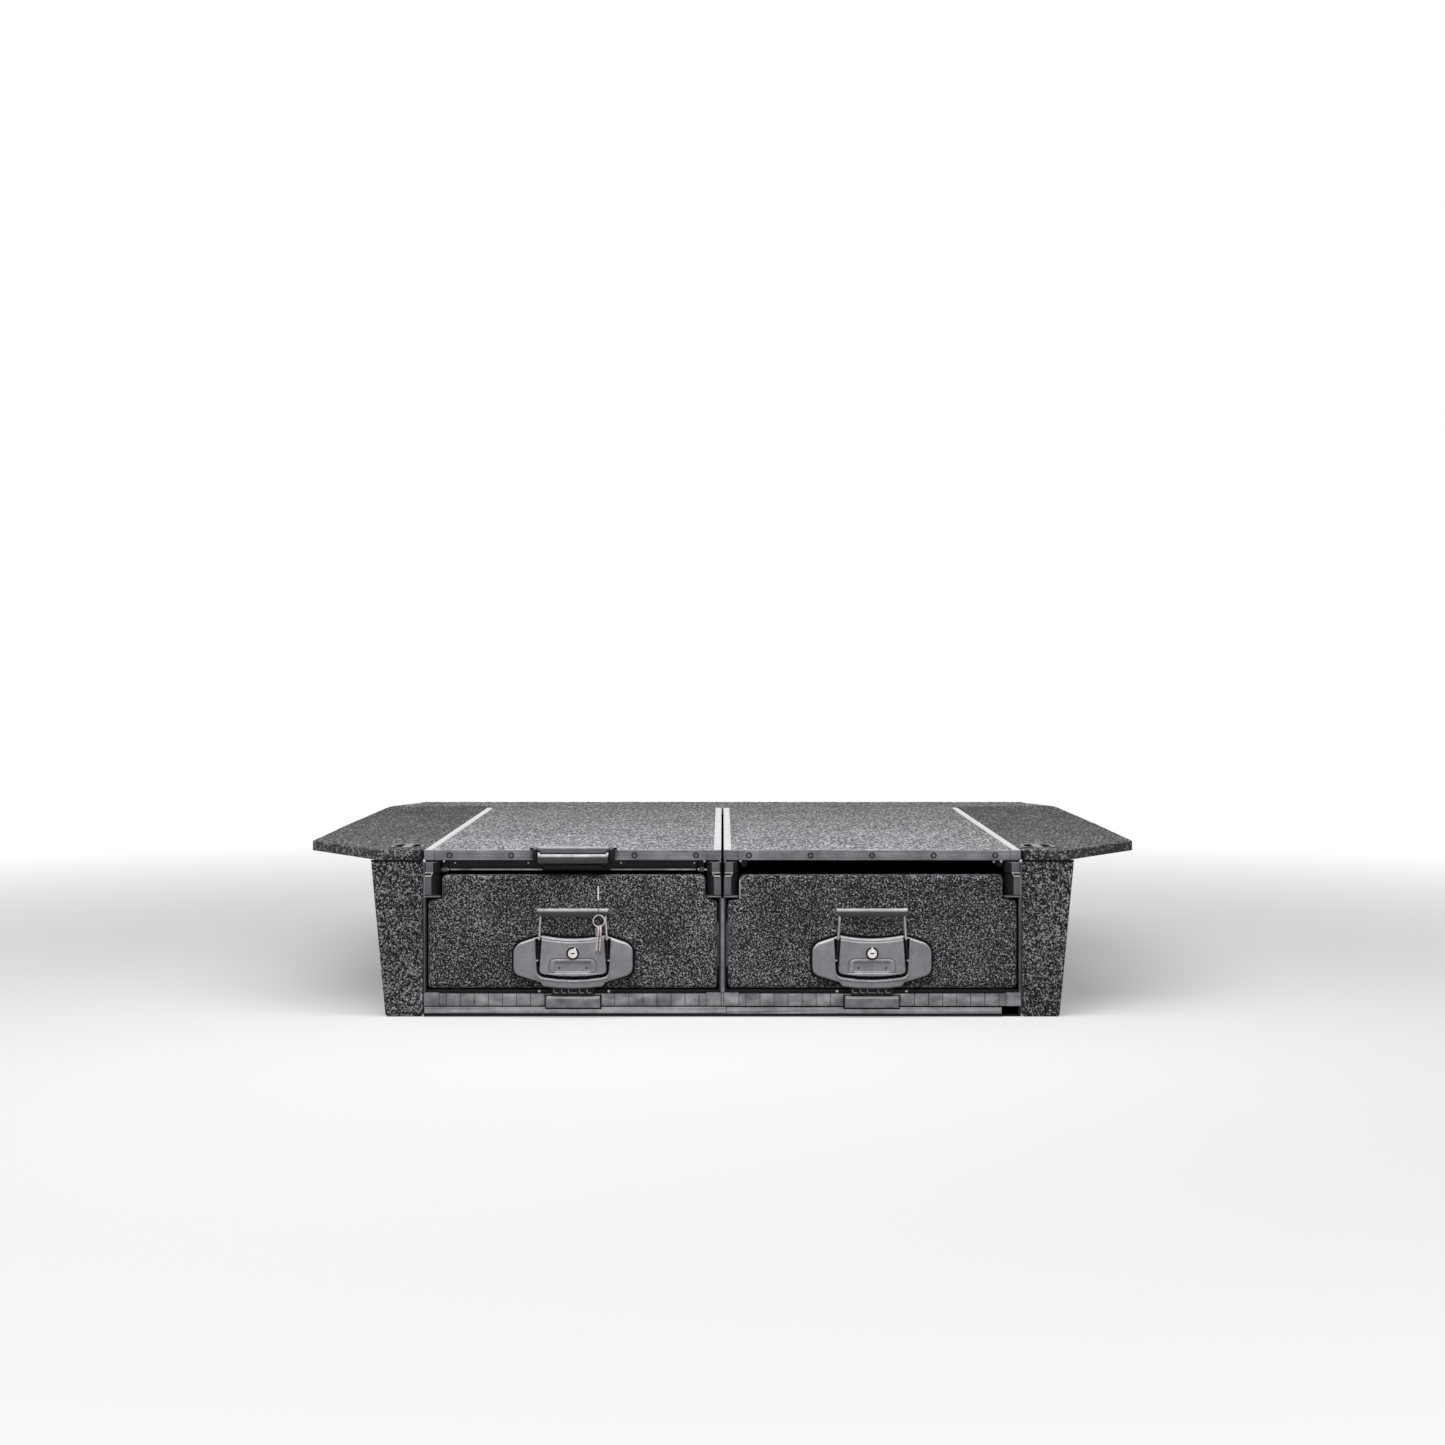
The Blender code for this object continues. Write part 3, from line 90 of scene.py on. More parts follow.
def depths(near, far):
    """The Y values of two proud distances."""
    return FRONT - near, FRONT - far


def from_side(*points):
    """An outline in the Y, Z plane from points of (proud distance, height)."""
    return [(FRONT - away, z) for away, z in points]


def from_above(*points):
    """An outline in the X, Y plane from points of (X, distance behind the front plane)."""
    return np.array([(x, FRONT + behind) for x, behind in points])


def shell(vertices, *faces):
    """Faces turned outwards by the sign of the volume that they enclose.

    The volume is a sixth of the sum of a . (b x c) over triangles, and only its sign counts.
    """
    volume = 0.0
    for group in faces:
        corner = vertices[group]
        for k in range(1, group.shape[1] - 1):
            volume += np.einsum("ij,ij->", corner[:, 0], np.cross(corner[:, k], corner[:, k + 1]))
    return vertices, [group[:, ::-1] if volume < 0 else group for group in faces]


def loft(rings, cyclic=False):
    """Quads between successive rings of equal count; open ends are closed with one flat face each."""
    rings = np.asarray(rings, dtype=float)
    index = np.arange(rings.shape[0] * rings.shape[1]).reshape(rings.shape[:2])
    low, high = (index, np.roll(index, -1, 0)) if cyclic else (index[:-1], index[1:])
    quads = np.stack([low, np.roll(low, -1, 1), np.roll(high, -1, 1), high], -1).reshape(-1, 4)
    caps = [] if cyclic else [index[0][None, ::-1], index[-1][None]]
    return shell(rings.reshape(-1, 3), quads, *caps)


def inset(outline, amount):
    """An outline moved inwards: a corner goes by (a + b) / (1 + a . b), where a, b are its sides' normals."""
    outline = np.asarray(outline, dtype=float)
    ahead = np.roll(outline, -1, 0)
    area = np.sum(outline[:, 0] * ahead[:, 1] - ahead[:, 0] * outline[:, 1])
    side = ahead - outline
    side /= np.linalg.norm(side, axis=1, keepdims=True)
    inward = np.stack([-side[:, 1], side[:, 0]], 1) * np.sign(area)
    before = np.roll(inward, 1, 0)
    turn = (before + inward) / np.maximum(0.35, 1 + np.sum(before * inward, 1))[:, None]
    return outline + amount * turn


def slab(axis, outline, start, end, start_edge=0.0, end_edge=0.0, steps=3):
    """An outline carried from start to end, with quarter-round edges: inset r(1 - sin t) at r(1 - cos t)."""
    way = np.sign(end - start)
    turn = np.linspace(0, math.pi / 2, steps + 1)
    profile = []
    for edge, at, way_in in ((start_edge, start, way), (end_edge, end, -way)):
        arc = [(0.0, at)]
        if edge:
            arc = [(edge * (1 - math.sin(t)), at + way_in * edge * (1 - math.cos(t))) for t in turn]
        profile += arc if way_in == way else arc[::-1]
    return loft([place(axis, inset(outline, amount), along) for amount, along in profile])


def rounded(outline, radius, steps=4):
    """An outline with soft corners: a quadratic curve between the points that lie radius from a corner."""
    outline = np.asarray(outline, dtype=float)
    radius = np.broadcast_to(radius, len(outline))[:, None, None]
    back = np.roll(outline, 1, 0) - outline
    ahead = np.roll(outline, -1, 0) - outline
    back /= np.linalg.norm(back, axis=1, keepdims=True)
    ahead /= np.linalg.norm(ahead, axis=1, keepdims=True)
    t = np.linspace(0, 1, steps + 1)[None, :, None]
    bend = back[:, None] * (1 - t) ** 2 + ahead[:, None] * t ** 2
    return (outline[:, None] + radius * bend).reshape(-1, 2)


def rectangle(u0, u1, v0, v1):
    """Corners of a rectangle, once round."""
    return np.array([(u0, v0), (u1, v0), (u1, v1), (u0, v1)])


def block(x, y, z, edge=0.0008):
    """A box between two values each of X, Y and Z, with rounded edges along X and round both ends."""
    return slab("X", rounded(rectangle(*sorted(y), *sorted(z)), edge, 2), *sorted(x), edge, edge, 2)


def tube(path, radius, flat, sides=12, cyclic=False):
    """A circle carried along a path in a plane whose normal is flat.

    A ring's points are radius (cos t side + sin t flat), where side is the path's tangent x flat.
    """
    path = np.asarray(path, dtype=float)
    flat = np.asarray(flat, dtype=float)
    ahead = np.roll(path, -1, 0) - path
    before = path - np.roll(path, 1, 0)
    if not cyclic:
        ahead[-1], before[0] = before[-1], ahead[0]
    ahead = ahead / np.linalg.norm(ahead, axis=1)[:, None]
    before = before / np.linalg.norm(before, axis=1)[:, None]
    side = np.cross(ahead + before, flat)
    side /= np.linalg.norm(side, axis=1)[:, None]
    turn = np.linspace(0, 2 * math.pi, sides, endpoint=False)
    radius = np.broadcast_to(radius, len(path))[:, None, None]
    rings = path[:, None] + radius * (np.cos(turn)[None, :, None] * side[:, None]
                                      + np.sin(turn)[None, :, None] * flat[None, None])
    return loft(rings, cyclic)


def turned(centre, axis, profile, sides=24, recess=None, closed=False):
    """A lathe shape: rings of (radius, height) about an axis through centre; recess lowers chosen points.

    A closed profile joins its last ring to its first, as a washer does.
    """
    axis = np.asarray(axis, dtype=float)
    first = np.cross(axis, (0.0, 0.0, 1.0) if abs(axis[2]) < 0.5 else (1.0, 0.0, 0.0))
    first /= np.linalg.norm(first)
    second = np.cross(axis, first)
    profile = np.asarray(profile, dtype=float)
    turn = np.linspace(0, 2 * math.pi, sides, endpoint=False)
    u = profile[:, :1] * np.cos(turn)
    v = profile[:, :1] * np.sin(turn)
    height = np.broadcast_to(profile[:, 1:], u.shape)
    if recess is not None:
        height = height - recess(u, v)
    return loft(np.asarray(centre) + u[..., None] * first + v[..., None] * second + height[..., None] * axis,
                closed)


def stud(x, away, z, profile, sides=12, **form):
    """A lathe shape that faces forwards from a proud distance."""
    return turned((x, FRONT - away, z), FORWARD, profile, sides, **form)


def distance(points, outline):
    """Signed distance to a closed outline, positive inside, and the nearest point on it."""
    start = np.asarray(outline, dtype=float)
    end = np.roll(start, -1, 0)
    edge = end - start
    away = points[:, None] - start
    share = np.clip(np.sum(away * edge, -1) / np.sum(edge ** 2, -1), 0, 1)
    foot = start + share[..., None] * edge
    gap = np.linalg.norm(points[:, None] - foot, axis=-1)
    best = gap.argmin(1)
    rows = np.arange(len(points))
    y = points[:, 1:]
    spans = (start[:, 1] > y) != (end[:, 1] > y)
    rise = np.where(edge[:, 1] == 0, 1, edge[:, 1])
    crossing = start[:, 0] + (y - start[:, 1]) / rise * edge[:, 0]
    inside = np.sum(spans & (points[:, :1] < crossing), 1) % 2 == 1
    return np.where(inside, 1, -1) * gap[rows, best], foot[rows, best]


def relief(axis, outline, pitch, height, base, rim, steps=3, hole=None):
    """A piece whose face is height(points) on a grid cut to an outline, with a quarter-round rim to its base.

    Border points of the grid move to the nearest point of the outline inset by the rim. A ring of the rim
    goes out by rim sin t and down by rim (1 - cos t). The back is the same grid at base: a level, or
    base(points).
    """
    bounds = [inset(outline, rim)] + ([inset(hole, -rim)] if hole is not None else [])
    low, high = bounds[0].min(0), bounds[0].max(0)
    count = np.round((high - low) / pitch).astype(int)
    lines = [np.linspace(low[k], high[k], count[k] + 1) for k in range(2)]
    points = np.stack(np.meshgrid(*lines, indexing="ij"), -1).reshape(-1, 2)
    gap, nearest = distance(points, bounds[0])
    for other in bounds[1:]:
        within, foot = distance(points, other)
        nearest = np.where((-within < gap)[:, None], foot, nearest)
        gap = np.minimum(gap, -within)
    index = np.arange(len(points)).reshape(count + 1)
    cells = np.stack([index[:-1, :-1], index[1:, :-1], index[1:, 1:], index[:-1, 1:]], -1).reshape(-1, 4)
    cells = cells[(gap > -1e-7)[cells].all(1)]
    used, cells = np.unique(cells, return_inverse=True)
    cells = cells.reshape(-1, 4)
    points, nearest = points[used], nearest[used]
    edges = np.concatenate([cells[:, [k, (k + 1) % 4]] for k in range(4)])
    total = len(points)
    border = edges[~np.isin(edges[:, 0] * total + edges[:, 1], edges[:, 1] * total + edges[:, 0])]
    lip, ring_edges = np.unique(border, return_inverse=True)
    ring_edges = ring_edges.reshape(-1, 2)
    points[lip] = nearest[lip]
    run = points[border[:, 1]] - points[border[:, 0]]
    out = np.zeros((len(lip), 2))
    for end in (0, 1):
        np.add.at(out, ring_edges[:, end], np.stack([run[:, 1], -run[:, 0]], 1))
    out /= np.maximum(1e-9, np.linalg.norm(out, axis=1))[:, None]
    proud = height(points)
    behind = base(points) if callable(base) else np.full(len(points), base)
    turn = np.linspace(0, math.pi / 2, steps + 1)[1:]
    rings = [place(axis, points[lip] + out * rim * math.sin(t), proud[lip] - rim * (1 - math.cos(t)))
             for t in turn]
    rings.append(place(axis, points[lip] + out * rim, behind[lip]))
    vertices = [place(axis, points, proud)] + rings + [place(axis, points, behind)]
    starts = total + len(lip) * np.arange(len(rings))
    quads = [cells]
    low_edge = border
    for start in starts:
        high_edge = start + ring_edges
        quads.append(np.stack([low_edge[:, 1], low_edge[:, 0], high_edge[:, 0], high_edge[:, 1]], 1))
        low_edge = high_edge
    back = total + len(lip) * len(rings)
    quads.append(np.stack([low_edge[:, 1], low_edge[:, 0], back + border[:, 0], back + border[:, 1]], 1))
    quads.append(back + cells[:, ::-1])
    return shell(np.concatenate(vertices), np.concatenate(quads))


def stadium(centre, width, length, steps=12):
    """An oblong outline, its length along the second axis, with half-round ends."""
    turn = np.linspace(0, math.pi, steps + 1)
    r = width / 2
    top = np.stack([r * np.cos(turn), r * np.sin(turn) + length / 2 - r], 1)
    return np.concatenate([top, -top]) + np.asarray(centre)


def piece(name, material, body, shells, replaces=(), sharp=38):
    """One object at the origin from several shells, set on its body; flat many-sided ends stay flat."""
    vertices, groups, offset = [], [], 0
    for points, faces in shells:
        vertices.append(points)
        groups += [group + offset for group in faces]
        offset += len(points)
    vertices = np.concatenate(vertices)
    corners = np.concatenate([group.ravel() for group in groups])
    counts = np.concatenate([np.full(len(group), group.shape[1]) for group in groups])
    mesh = bpy.data.meshes.new(name)
    mesh.vertices.add(len(vertices))
    mesh.vertices.foreach_set("co", vertices.astype(np.float32).ravel())
    mesh.loops.add(len(corners))
    mesh.loops.foreach_set("vertex_index", corners.astype(np.int32))
    mesh.polygons.add(len(counts))
    mesh.polygons.foreach_set("loop_start", np.concatenate([[0], np.cumsum(counts)[:-1]]).astype(np.int32))
    mesh.update(calc_edges=True)
    bm = bmesh.new()
    bm.from_mesh(mesh)
    bmesh.ops.remove_doubles(bm, verts=bm.verts, dist=1e-6)
    bm.to_mesh(mesh)
    bm.free()
    sides = np.empty(len(mesh.polygons), dtype=np.int32)
    mesh.polygons.foreach_get("loop_total", sides)
    mesh.polygons.foreach_set("use_smooth", sides <= 4)
    mesh.set_sharp_from_angle(angle=math.radians(sharp))
    mesh.materials.append(material)
    obj = bpy.data.objects.new(name, mesh)
    bpy.context.scene.collection.objects.link(obj)
    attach(obj, body)
    if replaces:
        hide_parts(*replaces)


# Materials

# A pattern's size in metres, as one over how many of it go in a metre; a texture's Scale is one over its size
TONE_DRIFT = 1 / 9     # slow change of tone across a carpet, 110 mm
WORN_PATCH = 1 / 16    # worn patches of a powder coat, 60 mm
HAND_MARK = 1 / 28     # marks of handling on metal, 36 mm
DUST_HAZE = 1 / 42     # drifts of dust on a moulding, 24 mm
GRIT_GAP = 1 / 140     # from one speck of grit to the next, 7 mm
SMUDGE = 1 / 180       # smudges and scratches on plate, 6 mm
ORANGE_PEEL = 1 / 700  # ripples of a powder coat, 1.4 mm

# Lines to the metre along X, Y and Z. Real die lines lie 0.1 mm apart, and are drawn 1 to 3 mm apart to show.
LINES_ALONG_X = (6.0, 900.0, 900.0)
BROAD_LINES_ALONG_X = (6.0, 300.0, 300.0)
LINES_ALONG_Y = (900.0, 5.0, 900.0)
LINES_ALONG_Z = (900.0, 900.0, 6.0)
SCUFFS = (30.0, 300.0, 60.0)


def linear(code):
    """Linear colour of an sRGB hex value."""
    parts = [int(code[k:k + 2], 16) / 255 for k in (1, 3, 5)]
    return tuple(c / 12.92 if c <= 0.04045 else ((c + 0.055) / 1.055) ** 2.4 for c in parts) + (1.0,)


def add(tree, kind, inputs, stops=(), **settings):
    """A node with its settings, its inputs by name or index, and the (position, hex) stops of a colour ramp.

    An input is linked to a socket or to a node's first output, and set to anything else. A Map Range node
    carries input 0 from the range of 1 and 2 to the range of 3 and 4.
    """
    node = tree.nodes.new(kind)
    for key, value in settings.items():
        setattr(node, key, value)
    for key, value in inputs.items():
        if isinstance(value, bpy.types.Node):
            value = value.outputs[0]
        if isinstance(value, bpy.types.NodeSocket):
            tree.links.new(value, node.inputs[key])
        else:
            node.inputs[key].default_value = value
    while stops and len(node.color_ramp.elements) < len(stops):
        node.color_ramp.elements.new(0.5)
    for k, (position, code) in enumerate(stops):
        node.color_ramp.elements[k].position = position
        node.color_ramp.elements[k].color = linear(code)
    return node


def shader_of(name):
    """A new material: its tree, its Principled shader, and the object coordinates in metres."""
    material = bpy.data.materials.new(name)
    material.use_nodes = True
    tree = material.node_tree
    coordinates = tree.nodes.new("ShaderNodeTexCoord").outputs["Object"]
    return material, tree, tree.nodes["Principled BSDF"], coordinates


def needle_punched_carpet(name, stops, fleck, roll=(1.0, 1.0, 1.0)):
    """Needle-punched polypropylene: matted fibres of mixed greys, light curls among dark ones.

    To the eye a matt salt-and-pepper felt. fleck is the size of its curls, which are 3 to 5 mm long and 1 to
    2 mm thick. roll is how much finer the pattern is along each axis: along the roll, towards +Y on a deck,
    the fibres lie in longer streaks.
    """
    material, tree, shader, where = shader_of(name)
    laid = add(tree, "ShaderNodeMapping", {"Vector": where, "Scale": roll})
    curls = add(tree, "ShaderNodeTexNoise", {"Vector": laid, "Scale": 1 / fleck, "Detail": 1.0,
                                             "Roughness": 0.5, "Distortion": 0.9})
    drift = add(tree, "ShaderNodeTexNoise", {"Vector": where, "Scale": 1 / TONE_DRIFT, "Detail": 4.0,
                                             "Roughness": 0.6})
    drifted = add(tree, "ShaderNodeMapRange", {0: drift, 1: 0.3, 2: 0.7, 3: -0.03, 4: 0.03})
    share = add(tree, "ShaderNodeMath", {0: curls, 1: drifted}, operation="ADD")
    colour = add(tree, "ShaderNodeValToRGB", {0: share}, stops)
    tree.links.new(colour.outputs[0], shader.inputs["Base Color"])
    shader.inputs["Roughness"].default_value = 1.0
    shader.inputs["Specular IOR Level"].default_value = 0.15
    shader.inputs["Sheen Weight"].default_value = 0.12
    shader.inputs["Sheen Roughness"].default_value = 0.6
    bump = add(tree, "ShaderNodeBump", {"Strength": 0.8, "Distance": 0.0012, "Height": curls})
    tree.links.new(bump.outputs[0], shader.inputs["Normal"])
    return material


def dust_and_top_highlight(tree, colour, dust, amount, noise):
    """A colour paled on what faces up, as dust and a painted highlight: its share is amount x a ramp of the
    normal's Z x patchy noise.
    """
    facing = tree.nodes.new("ShaderNodeTexCoord").outputs["Normal"]
    up = add(tree, "ShaderNodeSeparateXYZ", {0: facing}).outputs["Z"]
    # paler on what faces up: dust, and a painted highlight
    top_dust_and_highlight = add(tree, "ShaderNodeMapRange", {0: up, 1: 0.25, 2: 0.85, 3: 0.0, 4: amount})
    patchy = add(tree, "ShaderNodeMapRange", {0: noise, 1: 0.35, 2: 0.6, 3: 0.55, 4: 1.0})
    share = add(tree, "ShaderNodeMath", {0: top_dust_and_highlight, 1: patchy}, operation="MULTIPLY")
    mixed = add(tree, "ShaderNodeMix", {"Factor": share, "A": colour, "B": linear(dust)}, data_type="RGBA")
    return mixed.outputs["Result"]


def drawn_metal(name, light, dark, roughness, grain, worn=None, metallic=1.0):
    """Extruded or drawn aluminium and steel: fine die lines and cloudy marks of handling.

    To the eye a soft shine in streaks, a little darker and rougher where it has been handled. worn is the
    colour it is painted paler to where it faces up: a painted highlight, with some rubbing. A metallic share
    below 1 stands for bare metal so finely rubbed that part of it scatters light evenly.
    """
    material, tree, shader, where = shader_of(name)
    along = add(tree, "ShaderNodeMapping", {"Vector": where, "Scale": grain})
    lines = add(tree, "ShaderNodeTexNoise", {"Vector": along, "Scale": 1.0, "Detail": 2.0})
    marks = add(tree, "ShaderNodeTexNoise", {"Vector": where, "Scale": 1 / HAND_MARK, "Detail": 5.0,
                                             "Roughness": 0.65})
    both = add(tree, "ShaderNodeMath", {0: lines, 1: marks}, operation="MULTIPLY")
    colour = add(tree, "ShaderNodeValToRGB", {0: both}, ((0.12, dark), (0.38, light))).outputs[0]
    # paler where it faces up: a painted highlight, with some rubbing
    if worn:
        colour = dust_and_top_highlight(tree, colour, worn, 0.9, marks)
    tree.links.new(colour, shader.inputs["Base Color"])
    rough = add(tree, "ShaderNodeMapRange",
                {0: marks, 1: 0.3, 2: 0.7, 3: roughness + 0.10, 4: roughness - 0.06})
    tree.links.new(rough.outputs[0], shader.inputs["Roughness"])
    shader.inputs["Metallic"].default_value = metallic
    bump = add(tree, "ShaderNodeBump", {"Strength": 0.25, "Distance": 0.0002, "Height": lines})
    tree.links.new(bump.outputs[0], shader.inputs["Normal"])
    return material


def moulded_plastic(name, base, dusty, top_dust_and_highlight, roughness, shine=0.5, grain=0.0007):
    """Moulded nylon or ABS: spark-eroded grain 0.7 mm across, dust in its hollows and pale specks of grit.

    To the eye a satin surface with a broad soft highlight and a haze of dust; what faces up is paler, as dust
    and a painted highlight.
    """
    material, tree, shader, where = shader_of(name)
    texture = add(tree, "ShaderNodeTexNoise", {"Vector": where, "Scale": 1 / grain, "Detail": 2.0})
    haze = add(tree, "ShaderNodeTexNoise", {"Vector": where, "Scale": 1 / DUST_HAZE, "Detail": 6.0,
                                            "Roughness": 0.7})
    specks = add(tree, "ShaderNodeTexVoronoi", {"Vector": where, "Scale": 1 / GRIT_GAP})
    grit = add(tree, "ShaderNodeMapRange", {0: specks, 1: 0.05, 2: 0.11, 3: 0.35, 4: 0.0})
    dust = add(tree, "ShaderNodeMapRange", {0: haze, 1: 0.42, 2: 0.75, 3: 0.0, 4: 0.45})
    share = add(tree, "ShaderNodeMath", {0: dust, 1: grit}, operation="MAXIMUM")
    colour = add(tree, "ShaderNodeValToRGB", {0: share}, ((0.0, base), (1.0, dusty)))
    # paler on what faces up: dust, and a painted highlight
    tree.links.new(dust_and_top_highlight(tree, colour, top_dust_and_highlight, 0.85, haze), shader.inputs["Base Color"])
    rough = add(tree, "ShaderNodeMapRange",
                {0: haze, 1: 0.35, 2: 0.7, 3: roughness - 0.05, 4: roughness + 0.12})
    tree.links.new(rough.outputs[0], shader.inputs["Roughness"])
    shader.inputs["Specular IOR Level"].default_value = shine
    bump = add(tree, "ShaderNodeBump", {"Strength": 0.35, "Distance": 0.00008, "Height": texture})
    tree.links.new(bump.outputs[0], shader.inputs["Normal"])
    return material


def powder_coat(name, base, worn, roughness):
    """Powder-coated steel sheet: a slight orange-peel skin that catches the light unevenly."""
    material, tree, shader, where = shader_of(name)
    peel = add(tree, "ShaderNodeTexNoise", {"Vector": where, "Scale": 1 / ORANGE_PEEL, "Detail": 1.0})
    wear = add(tree, "ShaderNodeTexNoise", {"Vector": where, "Scale": 1 / WORN_PATCH, "Detail": 5.0,
                                            "Roughness": 0.7})
    colour = add(tree, "ShaderNodeValToRGB", {0: wear}, ((0.45, base), (0.75, worn)))
    tree.links.new(colour.outputs[0], shader.inputs["Base Color"])
    shader.inputs["Roughness"].default_value = roughness
    shader.inputs["Specular IOR Level"].default_value = 0.2
    bump = add(tree, "ShaderNodeBump", {"Strength": 0.3, "Distance": 0.0001, "Height": peel})
    tree.links.new(bump.outputs[0], shader.inputs["Normal"])
    return material


def plated(name, colour, smudged, roughness, metallic=1.0):
    """Chrome or nickel plate: a mirror skin broken by faint smudges and hairline scratches.

    A metallic share below 1 stands for plate scratched so finely that part of it scatters as white.
    """
    material, tree, shader, where = shader_of(name)
    smudge = add(tree, "ShaderNodeTexNoise", {"Vector": where, "Scale": 1 / SMUDGE, "Detail": 4.0})
    skin = add(tree, "ShaderNodeValToRGB", {0: smudge}, ((0.4, colour), (0.7, smudged)))
    tree.links.new(skin.outputs[0], shader.inputs["Base Color"])
    rough = add(tree, "ShaderNodeMapRange", {0: smudge, 1: 0.4, 2: 0.7, 3: roughness, 4: roughness + 0.14})
    tree.links.new(rough.outputs[0], shader.inputs["Roughness"])
    shader.inputs["Metallic"].default_value = metallic
    return material


# Drawer fronts and fascias: short curls with bright flecks, in the decks' felt painted darker as shade, since
# they face sideways from the light
FRONT_CARPET = needle_punched_carpet("shade_darkened_needle_punched_carpet", (
    (0.38, "#101012"), (0.48, "#262629"), (0.56, "#525257"), (0.64, "#b8b8bc")), 0.0027)
# Decks: the same felt painted paler as light, since it faces up into the light, with streaks along the roll
DECK_CARPET = needle_punched_carpet("lit_pale_needle_punched_carpet", (
    (0.34, "#3a3a3e"), (0.45, "#666669"), (0.56, "#929298"), (0.66, "#cacacc")), 0.0042, (1.0, 0.22, 1.0))
# Wings: the decks' felt, drawn darker, as it is seen in shade
WING_CARPET = needle_punched_carpet("wing_needle_punched_carpet", (
    (0.36, "#18181a"), (0.46, "#2d2d30"), (0.55, "#4e4e52"), (0.64, "#96969a")), 0.0042, (1.0, 0.28, 1.0))
# Deck trims: a satin grey nosing, streaked along its length, with a painted highlight where it faces up
TRIM_METAL = drawn_metal("satin_anodised_aluminium", "#909195", "#626367", 0.44, LINES_ALONG_X, "#cacacc")
# Sill blocks: a duller band, scuffed across by what is slid over it, with a painted highlight where it faces
# up
SILL_METAL = drawn_metal("handled_anodised_aluminium", "#a1a2a5", "#5b5c60", 0.50, SCUFFS, "#dcdcde")
# Strip under the sill: pale, with broad rubbed streaks and a painted highlight where it faces up
STRIP_METAL = drawn_metal("scuffed_anodised_aluminium", "#adaeb1", "#6c6d71", 0.50, BROAD_LINES_ALONG_X,
                          "#dcdcde")
# Folded edges of the module sides: grey at the middle post, dull outside
POST_METAL = drawn_metal("folded_anodised_aluminium", "#8b8c90", "#5f6064", 0.46, LINES_ALONG_Z)
EDGE_METAL = drawn_metal("dull_anodised_aluminium", "#5c5d60", "#3c3d40", 0.50, LINES_ALONG_Z)
# Catch plates: scuffed grey with a painted highlight where they face up; a pale strip on the lead is a
# painted highlight too
KEEPER_METAL = drawn_metal("rubbed_anodised_aluminium", "#88898c", "#5e5f62", 0.46, SCUFFS, "#ffffff")
LEAD_HIGHLIGHT_METAL = drawn_metal("painted_highlight_aluminium", "#f0f0f2", "#d0d0d4", 0.50, LINES_ALONG_Y, metallic=0.3)
# Deck rails: nearly white, streaked along their length
RAIL_METAL = drawn_metal("bright_anodised_aluminium", "#eeeeef", "#d6d6d8", 0.46, LINES_ALONG_Y)
# Screws and runners: bright and smooth
ZINC = drawn_metal("zinc_plated_steel", "#ececee", "#bcbcc0", 0.30, (900.0, 5.0, 500.0))
# Bails: bright wire with drawing marks a few millimetres long
BAIL_STEEL = drawn_metal("zinc_plated_spring_wire", "#c8c8cc", "#98989c", 0.34, (300.0, 300.0, 30.0))
# Carcass, beam and screw cups: near black, rippled
BLACK_STEEL = powder_coat("black_powder_coat", "#0c0d0e", "#1a1b1d", 0.5)
# Gaskets and seams: black and dull
BLACK_RUBBER = powder_coat("black_rubber_gasket", "#08080a", "#101012", 0.8)
# Caps, pull frame, tongues and tie-down cups: satin black with grey dust, paler where they face up as dust
# and a painted highlight
BLACK_ABS = moulded_plastic("black_moulded_abs", "#111112", "#303033", "#8a8a8e", 0.46, 0.22)
# Flat faces of the same mouldings: a paler grey; their thin edge strips paler still, as painted highlights
# with some rubbing
CAP_ABS = moulded_plastic("pale_grey_moulded_abs", "#5c5c61", "#85858a", "#b4b4b8", 0.46)
RUBBED_HIGHLIGHT_ABS = moulded_plastic("painted_highlight_rubbed_abs", "#b4b4b8", "#bcbcc0", "#dcdcde", 0.42)
# Handles: mid grey with pale dust, and paler on what faces up as a painted highlight
HANDLE_NYLON = moulded_plastic("grey_moulded_nylon", "#8a8a8f", "#c0c0c4", "#ececee", 0.46)
# Grips of the bails and of the pull: dark grey, smoother than the rest, with a painted highlight along their
# tops
GRIP_NYLON = moulded_plastic("dark_moulded_grip", "#2e2e32", "#505054", "#dcdce0", 0.38)
# Locks: a mirror with a warm cast
CHROME = plated("chrome_plated_brass", "#f4eeec", "#d8d2d0", 0.16)
# Keys and split ring: warm white, scratched to a satin
NICKEL = plated("nickel_plated_brass", "#fcf3f2", "#d8c2c0", 0.26, 0.45)
# Wire tie: one wire, painted bright where it stands up in the light and painted dark as shade where it goes
# round the grip
LIT_TIE_WIRE = plated("lit_painted_tie_wire", "#fafafa", "#e8e8ea", 0.30, 0.2)
SHADED_TIE_WIRE = plated("shade_painted_tie_wire", "#5c5c60", "#3c3c40", 0.45)

CARRIED = {
    "carpet": FRONT_CARPET, "deck_carpet": DECK_CARPET, "satin_aluminium": TRIM_METAL,
    "bright_aluminium": RAIL_METAL, "black_steel": BLACK_STEEL, "zinc_steel": ZINC,
    "black_plastic": BLACK_ABS, "grey_plastic": HANDLE_NYLON, "chrome": CHROME, "nickel": NICKEL,
    "tie_wire": SHADED_TIE_WIRE,
}
for part in frame["record"]["subparts"]:
    mesh = nodes[part["node"]].data
    mesh.materials.clear()
    mesh.materials.append(CARRIED[part["material_slot"]])


# Carpeted panels

FACE_GRID, WING_GRID, DECK_GRID = 0.0022, 0.0045, 0.0055   # steps of the carpets' grids
FACE_PILE, DECK_PILE = 0.00022, 0.0003                     # how far their fibres stand up and down


def felted(level, seed, pile):
    """A level face whose points stand up and down by a clipped random fibre height."""
    def height(points):
        noise = np.random.default_rng(seed).normal(0, pile, len(points))
        return level + np.clip(noise, -2 * pile, 2 * pile)
    return height


